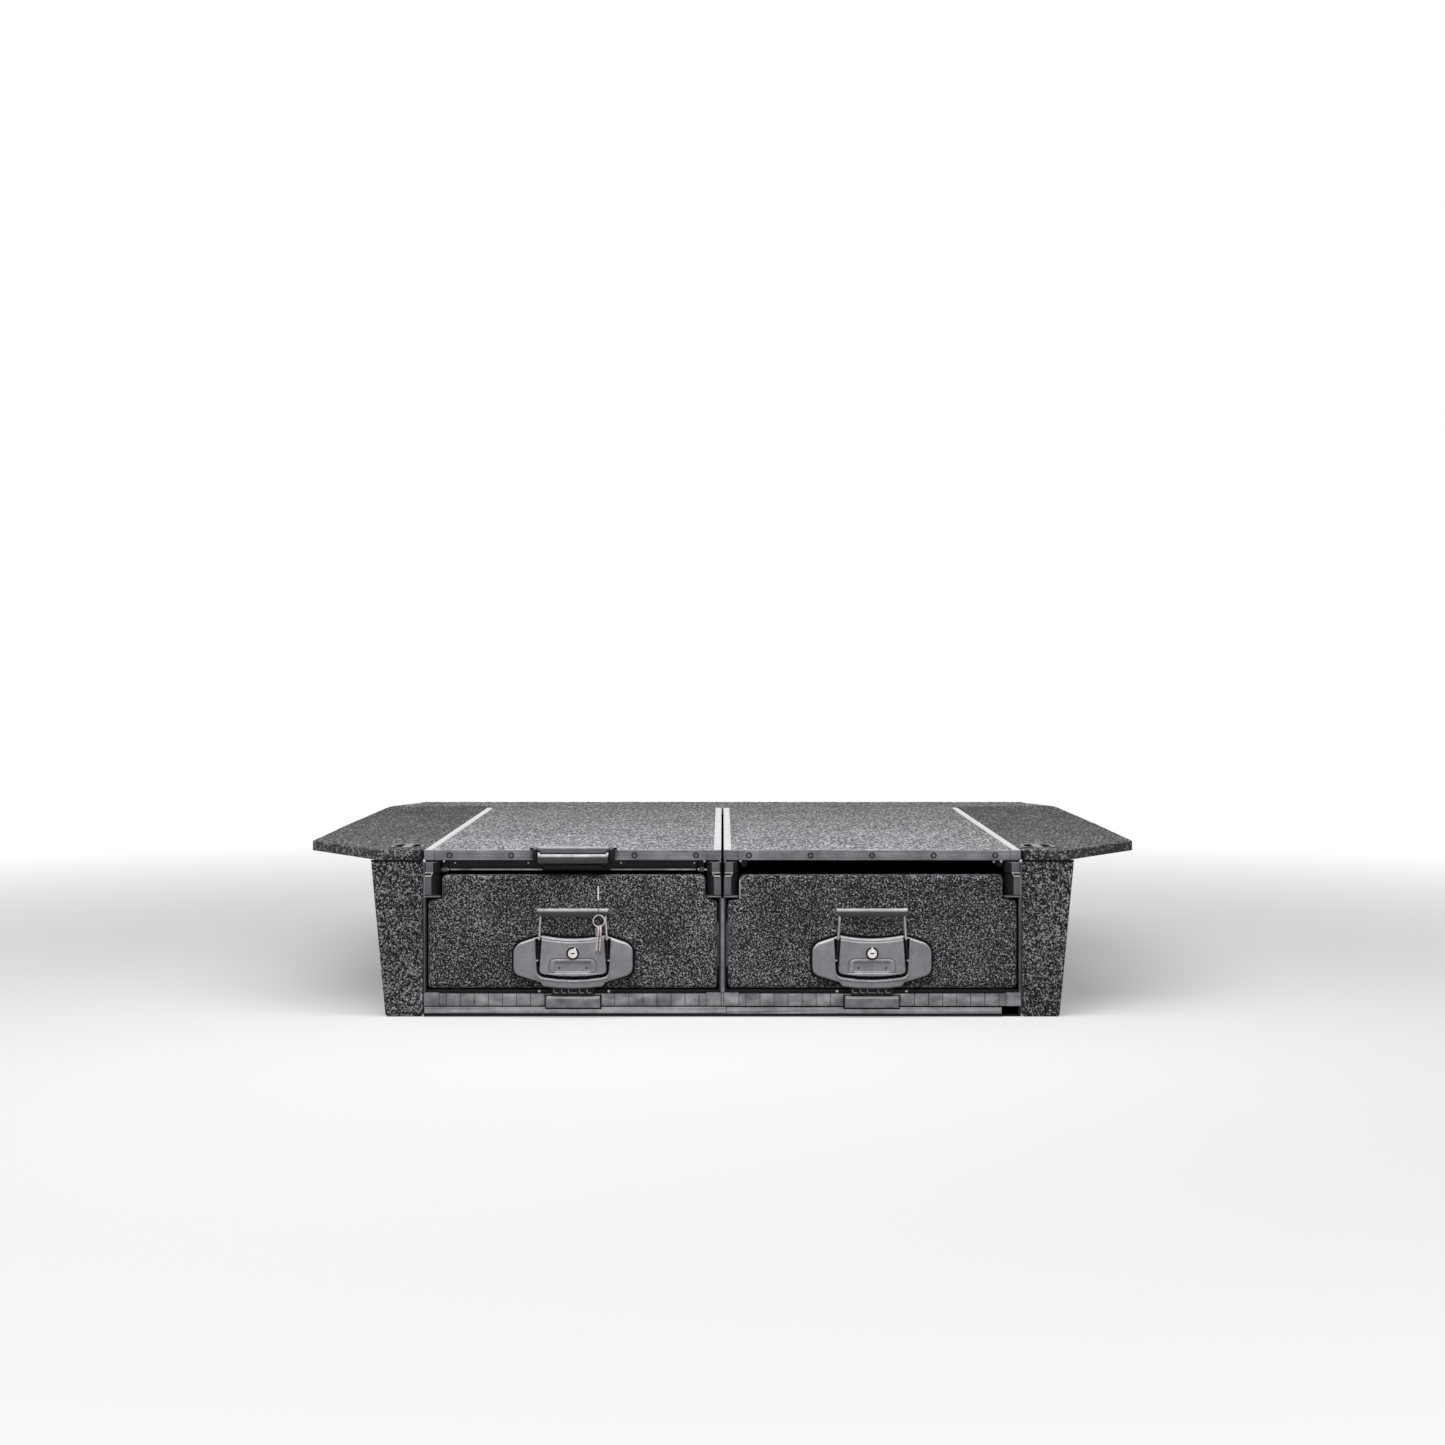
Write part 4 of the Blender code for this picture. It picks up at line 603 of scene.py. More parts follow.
def carpet_front(side, seed):
    """Drawer front: a carpet-wrapped board, notched at its top corners to pass the caps."""
    node = f"{side}_drawer_front"
    (x0, face, z0), (x1, back, z1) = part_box(node)
    shelf, outer, inner = 0.200, 0.0240, 0.0205
    first, last = (outer, inner) if side == "left" else (inner, outer)
    outline = [(x0, z0), (x1, z0), (x1, shelf), (x1 - last, shelf), (x1 - last, z1),
               (x0 + first, z1), (x0 + first, shelf), (x0, shelf)]
    panel = relief("front", rounded(outline, 0.004, 3), FACE_GRID, felted(FRONT - face, seed, FACE_PILE),
                   FRONT - back, 0.0064)
    piece(f"{side}_front_carpet", FRONT_CARPET, f"{side}_drawer", [panel], [node])


def carpet_fascia(side, seed):
    """Fascia beside a module: its outer edge leans in to the floor; black strips on its top, at the wing's
    edge and at the gap beside it, are painted shade.
    """
    node = f"{side}_fascia"
    low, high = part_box(node)
    sign, face, top = SIGNS[side], low[1], high[2]
    inner = low[0] if sign > 0 else high[0]
    outline = [(inner, 0.0), (inner + sign * 0.064, 0.0), (inner + sign * 0.089, top), (inner, top)]
    panel = relief("front", rounded(outline, 0.002, 2), FACE_GRID, felted(FRONT - face, seed, FACE_PILE),
                   FRONT - high[1], 0.0022)
    piece(f"{side}_fascia_carpet", FRONT_CARPET, "root", [panel], [node])
    # black strips where the wing meets the fascia: painted shade of the gaps
    shade_strip_top = top + 0.0004
    seam = block((inner + sign * 0.0010, inner + sign * 0.0885), (face - 0.0008, face + 0.0030),
                 (top - 0.0030, shade_strip_top), 0.0003)
    stop = block((sign * 0.5106, sign * 0.5150), (face, face + 0.0040), (shade_strip_top, 0.2832), 0.0004)
    piece(f"{side}_fascia_gap_shade", BLACK_RUBBER, "root", [seam, stop])


def carpet_wing(side, seed):
    """Side wing: widens behind the opening, with an oblong hole for the tie-down cup."""
    node = f"{side}_wing_deck"
    sign, reach, rear = SIGNS[side], 0.735, DECK_LENGTH + 0.002
    plan = [(0.516, 0.0), (0.591, 0.0), (reach, 0.230), (reach, 0.700), (0.728, rear), (0.512, rear),
            (0.512, 0.026)]
    outline = from_above(*((sign * x, behind) for x, behind in plan))
    hole = stadium((sign * 0.548, FRONT + 0.090), *CUP_SIZE)
    panel = relief("Z", rounded(outline, 0.003, 2), WING_GRID, felted(DECK_TOP, seed, DECK_PILE),
                   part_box(node)[0][2], 0.0020, hole=hole)
    piece(f"{side}_wing_carpet", WING_CARPET, "root", [panel], [node])


def carpet_deck(side, name, seed):
    """Deck board between the rails, widened behind their ends."""
    x0, x1 = MODULE[side]
    rail, tail, nose, rail_end = 0.0133, 0.0003, 0.0063, 1.2603
    outline = from_above((x0 + rail, nose), (x1 - rail, nose), (x1 - rail, rail_end), (x1 - tail, rail_end),
                         (x1 - tail, DECK_LENGTH), (x0 + tail, DECK_LENGTH), (x0 + tail, rail_end),
                         (x0 + rail, rail_end))
    panel = relief("Z", outline, DECK_GRID, felted(DECK_TOP, seed, DECK_PILE), DECK_UNDER, 0.0010, steps=2)
    piece(f"{name}_carpet", DECK_CARPET, DECK_BODY[side], [panel], [f"{name}_board"])


def carpet_infill(seed):
    """Infill behind the decks and the wings: its ends narrow towards the rear."""
    wide, narrow, front, corner, rear = 0.728, 0.676, 1.3205, 1.455, 1.490
    outline = from_above((-wide, front), (wide, front), (narrow, corner), (narrow, rear), (-narrow, rear),
                         (-narrow, corner))
    panel = relief("Z", outline, DECK_GRID, felted(DECK_TOP, seed, DECK_PILE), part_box("rear_infill")[0][2],
                   0.0020)
    piece("rear_infill_carpet", DECK_CARPET, "root", [panel], ["rear_infill"])


for number, side in enumerate(SIGNS):
    carpet_front(side, 11 + number)
    carpet_fascia(side, 21 + number)
    carpet_wing(side, 31 + number)
carpet_deck("left", "roller_deck", 41)
carpet_deck("right", "fixed_deck", 42)
carpet_infill(43)


# Fasteners

def cross(width, reach, drop):
    """A cross-shaped recess: lowered where a point is within half a width of either arm."""
    def recess(u, v):
        arm = np.minimum(np.abs(u), np.abs(v)) < width
        return np.where(arm & (np.hypot(u, v) < reach), drop, 0.0)
    return recess


def screw_cup(x, away, z, r=0.0052):
    """Dark pressed cup that a countersunk screw is let into."""
    profile = [(r, -0.0004), (r, 0.0001), (r * 0.94, 0.0006), (r * 0.82, 0.0006), (r * 0.76, 0.0002),
               (r * 0.20, 0.0002)]
    return stud(x, away, z, profile, 24)


def cup_screw(x, away, z, r=0.0032):
    """Countersunk screw head seen from the front, a little domed, with a cross recess."""
    dome = 0.0012
    profile = [(r, 0.0001), (r, 0.0004), (r * 0.90, 0.0008), (r * 0.70, 0.0011), (r * 0.52, dome),
               (r * 0.36, dome), (r * 0.20, dome), (r * 0.06, dome)]
    return stud(x, away, z, profile, 24, recess=cross(0.0006, r * 0.75, 0.0009))


def pan_screw(x, away, z, r=0.0026, shank=0.0004):
    """Small pan-head screw, on a shank as long as the gap behind it."""
    dome = 0.0015
    profile = [(r, -shank), (r, 0.0003), (r * 0.93, 0.0009), (r * 0.70, 0.0013), (r * 0.45, dome),
               (r * 0.22, dome), (r * 0.05, dome)]
    return stud(x, away, z, profile, 20, recess=cross(0.0004, r * 0.62, 0.0007))


# Deck trims and rails

def trim(side, name, screw_x):
    """Rounded aluminium nosing in three lengths, with its screws in raised cups.

    The roller deck's has a fourth length, thinner, behind the pull.
    """
    x0, x1 = MODULE[side]
    low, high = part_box(name)
    outer, inner, joint, edge = 0.018, 0.024, 0.0004, 0.0004
    first, last = (outer, inner) if side == "left" else (inner, outer)
    nose = rounded(rectangle(low[1], high[1], low[2], high[2]), [0.0010, edge, edge, 0.0014], 3)
    thin = rounded(rectangle(low[1] + 0.0041, high[1], low[2], high[2]), edge, 2)
    cuts = [x0 + HAIR, x0 + first, x1 - last, x1 - HAIR]
    sections = [nose] * 5
    if side == "left":
        behind_pull = PULL_HALF + 0.0003
        cuts[2:2] = [-HANDLE_X - behind_pull, -HANDLE_X + behind_pull]
        sections[2] = thin
    shells = [slab("X", section, start + joint / 2, end - joint / 2, edge, edge, 2)
              for section, start, end in zip(sections, cuts, cuts[1:])]
    piece(name.replace("trim", "nosing"), TRIM_METAL, DECK_BODY[side], shells, [name])
    for part, material, slot, fastener in (("screws", TRIM_METAL, "zinc_steel", cup_screw),
                                           ("screw_cups", BLACK_STEEL, "black_steel", screw_cup)):
        fasteners = [fastener(x, FRONT - low[1], DECK_SCREW_Z) for x in screw_x]
        piece(f"{name}_{part}", material, DECK_BODY[side], fasteners)


trim("left", "roller_deck_trim", (-0.4664, -0.3611, -0.1504, -0.0451))
trim("right", "fixed_deck_trim", (0.0451, 0.1504, 0.2556, 0.3608, 0.4661))


def rail_track(name):
    """Bright rail: a flat face with two shallow grooves, on a black ledge and leg that carry the board."""
    edge, way = EDGES[name]
    (_, front, bottom), (_, back, _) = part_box(f"{name}_rail")
    body, top, sole, under = DECK_BODY[name.split("_")[0]], DECK_TOP, DECK_UNDER + HAIR, DECK_UNDER - 0.0003
    face = [(0.0003, top - 0.0005), (0.0008, top)]
    for groove in (0.0028, 0.0088):
        face += [(groove, top), (groove + 0.0003, top - 0.0006), (groove + 0.0012, top - 0.0006),
                 (groove + 0.0015, top)]
    face += [(0.0125, top), (0.0130, top - 0.0005), (0.0130, sole), (0.0003, sole)]
    ledge = bottom + 0.0088
    carrier = [(0.0, under), (0.040, under), (0.040, bottom), (0.030, bottom), (0.030, ledge), (0.0, ledge)]
    face, carrier = ([(edge + way * u, v) for u, v in outline] for outline in (face, carrier))
    piece(f"{name}_track", RAIL_METAL, body, [slab("Y", face, front, back)],
          [f"{name}_rail"], sharp=20)
    piece(f"{name}_track_ledge", BLACK_STEEL, body, [slab("Y", carrier, front + 0.0100, back)],
          sharp=20)


for name in EDGES:
    rail_track(name)


# Sill

def sill(side):
    """Scored band in separate blocks, with an end block each side that stands over the others."""
    x0, x1 = MODULE[side]
    name = f"{side}_sill_band"
    low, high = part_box(name)
    pitch, end, score, keeper_half = 0.024, 0.026, 0.00035, 0.046
    count = int((x1 - x0 - 2 * end) / 2 / pitch)
    cuts = [(x0 + x1) / 2 + pitch * k for k in range(-count, count + 1) if abs(pitch * k) > keeper_half]
    cuts = [x0 + HAIR] + sorted(cuts + [x0 + end, x1 - end]) + [x1 - HAIR]

    def section(away, rise):
        """The band's section, its face moved out and its top raised."""
        corners = rectangle(low[1] - away, high[1], low[2], high[2] + rise)
        return rounded(corners, [0.0010, 0.0004, 0.0004, 0.0012], 2)

    shells = []
    for start, stop in zip(cuts, cuts[1:]):
        at_end = start == cuts[0] or stop == cuts[-1]
        shape = section(0.0003, 0.0018) if at_end else section(0.0, 0.0)
        shells.append(slab("X", shape, start + score, stop - score, 0.0002, 0.0002, 1))
    piece(f"{side}_sill_blocks", SILL_METAL, "root", shells, [name])


def keeper(side):
    """Catch plate with a broad sloped lead at its top edge; round it a black pad with a foot, painted shadow.
    """
    name = f"{side}_catch_plate"
    (x0, face, bottom), (x1, back, top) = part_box(name)
    deep, drop = 0.0055, 0.0042
    outline = [(face, bottom), (back, bottom), (back, top), (face + deep, top), (face, top - drop)]
    section = rounded(outline, [0.0012, 0.0003, 0.0003, 0.0012, 0.0012], 3)
    plate = slab("X", section, x0, x1, 0.0010, 0.0010, 2)
    rivet = stud((x0 + x1) / 2 + 0.0035, FRONT - face, bottom + 0.0035,
                 [(0.0012, -0.0002), (0.0012, 0.0001), (0.0006, 0.0003), (0.0001, 0.0003)])
    piece(f"{side}_keeper", KEEPER_METAL, "root", [plate, rivet], [name])
    # black pad and foot round the plate: painted shadow
    wide = (x0 - 0.0021, x1 + 0.0021)
    sill_face, lip_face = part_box(f"{side}_sill_band")[0][1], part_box("base_plate")[0][1]
    pad = block(wide, (sill_face - 0.0006, sill_face + 0.0010), (bottom - 0.0014, top + 0.0010), 0.0003)
    foot = block(wide, (lip_face - 0.0022, sill_face), (bottom - 0.0034, bottom + 0.0004), 0.0003)
    piece(f"{side}_keeper_shadow_pad", BLACK_RUBBER, "root", [pad, foot])
    # pale strip on the sloped lead: a painted highlight
    slope = np.array([(face + 0.0005, top - 0.0038), (face + 0.0050, top - 0.0004)])
    raised = slope + 0.0004 * np.array([-drop, deep]) / math.hypot(drop, deep)
    lead = slab("X", np.concatenate([slope, raised[::-1]]), x0 + 0.0012, x1 - 0.0012)
    piece(f"{side}_keeper_lead_highlight", LEAD_HIGHLIGHT_METAL, "root", [lead], sharp=20)


def sill_strips():
    """Block between the two sills, and the strip below them in two lengths."""
    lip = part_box("base_plate")[0][1]
    (_, face, bottom), (_, _, top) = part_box("left_sill_band")
    for name, material, x, y, z, edge in (
            ("middle_block", SILL_METAL, (-0.0018, 0.0018), (face, face + 0.0040), (bottom, top + 0.0016),
             0.0005),
            ("strip_left", STRIP_METAL, (-0.509, 0.0064), (lip - 0.0018, lip), (0.0064, 0.0174), 0.0010),
            ("strip_right", STRIP_METAL, (0.0068, 0.4765), (lip - 0.0010, lip), (0.0058, 0.0166), 0.0008)):
        piece(f"sill_{name}", material, "root", [block(x, y, z, edge)])


for side in SIGNS:
    sill(side)
    keeper(side)
sill_strips()


# Front edges of the module sides, folded over, between the sill and the corner caps

for name, material, x in (("left_outer", EDGE_METAL, (-0.5100, -0.5074)),
                          ("right_outer", EDGE_METAL, (0.5056, 0.5100)),
                          ("centre", POST_METAL, (-0.0033, 0.0033))):
    piece(f"{name}_edge_strip", material, "root",
          [block(x, depths(0.0012, HAIR), (0.0418, 0.2028), 0.0005)])


# Corner caps

def corner_cap(name):
    """Moulded cap: a flat face and a 45 degree chamfer, stepped in below a mitred ledge, with a lip below.

    Its flat faces and lip stand a little over the black moulding and are drawn grey; its ledge's pale outline
    is a painted highlight with some rubbing.
    """
    node = f"{name}_corner_cap"
    (_, _, bottom), (_, back, top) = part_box(node)
    edge, way = EDGES[name]
    width, hook = (0.0280, 0.0340) if name.endswith("outer") else (0.0245, 0.0290)
    plate_top, ledge_top = 0.2388, 0.2467

    def across(*inwards):
        """X values of distances from the module's edge."""
        return [edge + way * value for value in inwards]

    def plan(width, flat, away):
        """The cap's section at one level: its face, its chamfer and its inner side."""
        x0, x1, x2 = across(HAIR, flat, width)
        corners = [(x0, FRONT - away), (x1, FRONT - away), (x2, FRONT + width - flat - away), (x2, back),
                   (x0, back)]
        return rounded(corners, [0.0010, 0.0010, 0.0010, 0.0003, 0.0003], 2)

    upper = plan(width, 0.0165, 0.0030)
    lower = plan(width, 0.0135, 0.0015)
    bead = plan(width + 0.0012, 0.0165, 0.0030)
    levels = [(bottom, inset(bead, 0.0010)), (bottom + 0.0005, inset(bead, 0.0005)), (bottom + 0.0026, bead),
              (bottom + 0.0032, inset(bead, 0.0005)), (bottom + 0.0033, lower), (bottom + 0.0402, lower),
              (bottom + 0.0432, upper), (top - 0.0006, upper), (top, inset(upper, 0.0006))]
    moulding = loft([place("Z", outline, level) for level, outline in levels])
    piece(f"{name}_cap", BLACK_ABS, "root", [moulding], [node])
    plates = [block(across(0.0030, 0.0161), depths(0.0034, 0.0024), (ledge_top + 0.0001, top), 0.0004),
              block(across(0.0006, 0.0126), depths(0.0019, 0.0009), (bottom + 0.0050, plate_top), 0.0004)]
    piece(f"{name}_cap_faces", CAP_ABS, "root", plates)
    # pale outline of the ledge: a painted highlight with some rubbing
    outline = [across(0.0020, 0.0122, 0.0163, 0.0020), [plate_top, plate_top, ledge_top, ledge_top]]
    within = [across(0.0020, 0.0120, 0.0139, 0.0020),
              [plate_top + 0.0028, plate_top + 0.0028, ledge_top - 0.0018, ledge_top - 0.0018]]
    rings = [place("front", np.transpose(shape), away) for shape, away in (
        (outline, 0.0005), (outline, 0.0040), (within, 0.0040), (within, 0.0005))]
    piece(f"{name}_cap_ledge", RUBBED_HIGHLIGHT_ABS, "root", [loft(rings, cyclic=True)], sharp=20)
    lip = block(across(0.0, width + 0.0005), depths(0.0036, 0.0020), (bottom + 0.0008, bottom + 0.0026),
                0.0004)
    piece(f"{name}_cap_foot", CAP_ABS, "root", [lip], sharp=20)
    side_x, hook_x = across(0.0022, hook)
    screws = [pan_screw(side_x, 0.0012, 0.2656, 0.0014, 0.0116),
              pan_screw(hook_x, -0.0020, 0.2655, 0.0022, 0.0090)]
    piece(f"{name}_ledge_screws", ZINC, DECK_BODY[name.split("_")[0]], screws)


for name in EDGES:
    corner_cap(name)


def deck_roller(name):
    """Nylon roller with rounded shoulders, turning on a bright shouldered bolt."""
    node = f"left_{name}_deck_roller"
    low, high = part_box(node)
    y, z, r = (low[1] + high[1]) / 2, (low[2] + high[2]) / 2, (high[2] - low[2]) / 2
    way = EDGES[f"left_{name}"][1]
    near = low[0] if way > 0 else high[0]
    tread, shoulder, bore = 0.0090, 0.0008, 0.0026
    end = high[0] - low[0]
    wheel = turned((near + way * (end - tread), y, z), (way, 0, 0), [
        (bore, 0.0), (r - shoulder, 0.0), (r, shoulder), (r, tread - shoulder), (r - shoulder, tread),
        (bore, tread)])
    bolt = turned((near, y, z), (way, 0, 0), [
        (0.0024, 0.0), (0.0024, end - 0.0002), (0.0042, end + 0.0001), (0.0042, end + 0.0018),
        (0.0030, end + 0.0024), (0.0002, end + 0.0024)])
    body = f"deck_roller_{name}"
    piece(f"{name}_roller_wheel", CAP_ABS, body, [wheel], [node])
    piece(f"{name}_roller_bolt", ZINC, body, [bolt])


deck_roller("outer")
deck_roller("inner")


# Drawer handles

def smooth_step(value, low, high):
    """0 below low, 1 above high, and 3t^2 - 2t^3 between."""
    t = np.clip((value - low) / (high - low), 0, 1)
    return t * t * (3 - 2 * t)


def both_sides(right, x):
    """A closed outline from its right half, top to bottom, about the line at x."""
    left = [(-u, v) for u, v in reversed(right) if u > 0]
    return np.array([(x + u, v) for u, v in right + left])


def arc_between(half, top, bottom, count=7):
    """Points of a shallow parabola from the middle out to half: bottom + (top - bottom)(u / half)^2."""
    return [(half * k / count, bottom + (top - bottom) * (k / count) ** 2) for k in range(count + 1)]


# Half width of the handle's upper and lower edge, and their heights at the ends and in the middle
TOP_ARC = (0.0523, 0.1388, 0.1334)
FOOT_ARC = (0.0500, 0.0540, 0.0507)
# Right halves of the handle's outlines, top to bottom, as (distance from its middle, height)
HANDLE_RIGHT = (arc_between(*TOP_ARC)
                + [(0.0653, 0.1351), (0.0890, 0.1272), (0.0945, 0.1236), (0.0992, 0.1180), (0.1010, 0.1130),
                   (0.1012, 0.0860), (0.1003, 0.0800), (0.0972, 0.0754), (0.0931, 0.0726), (0.0570, 0.0616),
                   (0.0545, 0.0600), (0.0525, 0.0565)]
                + arc_between(*FOOT_ARC, 8)[::-1])
GROOVE_OUTER = [(0.0655, 0.150), (0.0615, 0.0800), (0.0601, 0.0742), (0.0562, 0.0702), (0.0500, 0.0684),
                (0.0250, 0.0652), (0.0, 0.0641)]
PLATE_RIGHT = [(0.0521, 0.150), (0.0569, 0.0818), (0.0566, 0.0794), (0.0547, 0.0767), (0.0488, 0.0747),
               (0.0244, 0.0719), (0.0, 0.0710)]
LABEL = rounded(rectangle(-0.040, 0.040, 0.0772, 0.1010), [0.001, 0.001, 0.012, 0.012])
LABEL_FLOOR = rounded(rectangle(-0.0304, 0.0304, 0.0785, 0.0956), 0.0008, 2)


def handle_face(x):
    """Height of the handle's face over the front plane.

    25 mm on the plate and the wings, whose tips sweep back with the square of the distance; half as high in
    the groove between them, whose walls are smooth steps of the distance to its two outlines.
    """
    outer, plate = both_sides(GROOVE_OUTER, 0.0), both_sides(PLATE_RIGHT, 0.0)
    half, ends, middle = TOP_ARC

    def height(points):
        local = points - np.array([x, 0.0])
        u, v = np.abs(local[:, 0]), local[:, 1]
        in_outer, in_plate = distance(local, outer)[0], distance(local, plate)[0]
        below_top = middle + (ends - middle) * (u / half) ** 2 - v
        # wings: swept back at their tips, drawn in at their foot, with a rolled edge along the groove
        level = HANDLE_PROUD - 0.0042 * np.clip((u - 0.066) / 0.035, 0, 1) ** 2
        level -= 0.0016 * smooth_step(0.073 - v, 0.0, 0.014) * (in_outer < 0)
        level += 0.0012 * smooth_step(0.0026 - np.abs(-in_outer - 0.0020), 0.0, 0.0024)
        # plate: its upper edge set down above a fine line
        level -= 0.0010 * (1 - smooth_step(below_top, 0.0034, 0.0044)) * (in_plate > 0)
        level -= 0.0014 * smooth_step(0.0014 - np.abs(below_top - 0.0040), 0.0, 0.0012) * (in_plate > 0)
        # groove
        level -= HANDLE_PROUD / 2 * smooth_step(np.minimum(in_outer, -in_plate), -0.0004, 0.0006)
        # label place: a sunk line round it, and a sunk floor
        level -= 0.0020 * smooth_step(0.0015 - np.abs(distance(local, LABEL)[0]), 0.0, 0.0010)
        level -= 0.0026 * smooth_step(distance(local, LABEL_FLOOR)[0], -0.0004, 0.0005)
        # raised ring round the lock
        rim = np.hypot(local[:, 0], v - LOCK_Z)
        level += 0.0007 * smooth_step(0.0012 - np.abs(rim - 0.0112), 0.0, 0.0010)
        return level
    return height


def handle_back(x):
    """Back of the handle: flat, with a pocket above its lower edge that the latch tongue slides up into.

    The pocket is deep where the tongue's block moves and shallower above, where its tang does.
    """
    half, step, top, flat = 0.0392, 0.0604, 0.0704, -0.0007

    def base(points):
        pocket = np.where(points[:, 1] < step, 0.0152, 0.0107)
        return np.where((np.abs(points[:, 0] - x) < half) & (points[:, 1] < top), pocket, flat)
    return base


def handle(side):
    """Moulded handle on its gasket, drawn wide so that its rim also stands as painted shadow, with a black
    floor in its groove as painted shade, rivets, pins, and a black ring round the lock as painted shadow.
    """
    x = SIGNS[side] * HANDLE_X
    outline = both_sides(HANDLE_RIGHT, x)
    moulding = relief("front", outline, 0.0009, handle_face(x), handle_back(x), 0.0026, steps=4)
    piece(f"{side}_handle_body", HANDLE_NYLON, f"{side}_drawer", [moulding],
          [f"{side}_handle_housing"], sharp=50)
    # black gasket drawn wide: its rim also stands as painted shadow round the handle
    gasket = slab("front", inset(outline, -0.0042), -0.0007, 0.0024, 0.0, 0.0008, 2)
    # black floor in the groove: painted shade
    well = np.concatenate([both_sides(GROOVE_OUTER, x), both_sides(PLATE_RIGHT, x)[::-1]])
    well[:, 1] = np.minimum(well[:, 1], 0.1346)
    rivet = [(0.0016, -0.0006), (0.0016, 0.0003), (0.0008, 0.0006), (0.0001, 0.0006)]
    pin = [(0.0009, 0.0), (0.0009, 0.0006), (0.0006, 0.0009), (0.0001, 0.0009)]
    # black ring round the lock: painted shadow
    collar = [(0.0086, -0.0006), (0.0086, 0.0008), (0.0092, 0.0011), (0.0104, 0.0011), (0.0109, 0.0006),
              (0.0109, -0.0006)]
    rivets = [stud(x + u, 0.0222, 0.0854, rivet) for u in (-0.0235, 0.0235)]
    pins = [stud(x + u, 0.0138, 0.1025, pin, 14) for u in (-0.0606, 0.0606)]
    for name, material, slot, shells in (
            ("handle_gasket_and_shadow", BLACK_RUBBER, "black_plastic", [gasket]),
            ("groove_painted_shade", BLACK_RUBBER, "black_plastic", [slab("front", well, 0.0110, 0.0136)]),
            ("label_rivets", BLACK_RUBBER, "black_plastic", rivets),
            ("handle_pins", ZINC, "zinc_steel", pins),
            ("lock_shadow_ring", BLACK_RUBBER, "black_plastic",
             [stud(x, HANDLE_PROUD, LOCK_Z, collar, 40, closed=True)])):
        piece(f"{side}_{name}", material, f"{side}_drawer", shells)


def lock(side):
    """Cam lock: a collar with a rounded lip, a face with a lowered keyway, and a nib that shows its turn."""
    low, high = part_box(f"{side}_lock_barrel")
    x, z, face = (low[0] + high[0]) / 2, (low[2] + high[2]) / 2, FRONT - low[1]
    profile = [(0.0084, 0.0075), (0.0084, face - 0.0014), (0.0079, face - 0.0003), (0.0074, face),
               (0.0067, face), (0.0064, face - 0.0006), (0.0061, face - 0.0006), (0.0058, face - 0.0001)]
    profile += [(r, face) for r in (0.0050, 0.0040, 0.0032, 0.0024, 0.0016, 0.0008, 0.0001)]

    def keyway(u, v):
        """Lowered in an oblong slot and in a round hole at its middle."""
        oblong = (np.abs(u) < 0.0032) & (np.abs(v) < 0.0009)
        return np.where(oblong | (np.hypot(u, v) < 0.0014), 0.0030, 0.0)

    lean = math.radians({"left": 24.0, "right": 0.0}[side])
    out, along = np.array([math.sin(lean), math.cos(lean)]), np.array([math.cos(lean), -math.sin(lean)])
    pointer = [np.array([x, z]) + out * reach + along * half for reach, half in (
        (0.0070, -0.0020), (0.0070, 0.0020), (0.0106, 0.0016), (0.0106, -0.0016))]
    nib = slab("front", rounded(pointer, 0.0006, 2), face - 0.0022, face - 0.0004, 0.0, 0.0004, 2)
    barrel = stud(x, 0.0, z, profile, 40, recess=keyway)
    piece(f"{side}_lock", CHROME, f"{side}_lock", [barrel, nib], [f"{side}_lock_barrel"])


def bail(side):
    """Spring wire: pins in the wings, arms that lean in, and a crossbar hidden in the grip."""
    x, y = SIGNS[side] * HANDLE_X, FRONT - BAIL_PROUD
    pin_z, bend = 0.098, 0.0045
    turn = np.linspace(0, math.pi / 2, 8)
    arm = [(0.0655, pin_z), (0.0600, pin_z)]
    arm += list(zip(0.0505 + bend * np.cos(turn), GRIP_Z - bend + bend * np.sin(turn)))
    path = [(x + u, y, v) for u, v in arm] + [(x - u, y, v) for u, v in reversed(arm)]
    piece(f"{side}_bail", BAIL_STEEL, f"{side}_bail", [tube(path, 0.0024, (0, 1, 0), 16)],
          [f"{side}_bail_wire"])
    # black sleeves on the arms where they lie in the slots, which also stand for the slots' painted shade
    sleeves = [tube([(x + sign * 0.0599, y, 0.0995), (x + sign * 0.0577, y, 0.1330)], 0.00255, (0, 1, 0), 16)
               for sign in (-1, 1)]
    piece(f"{side}_bail_sleeves_and_shade", BLACK_ABS, f"{side}_bail", sleeves)


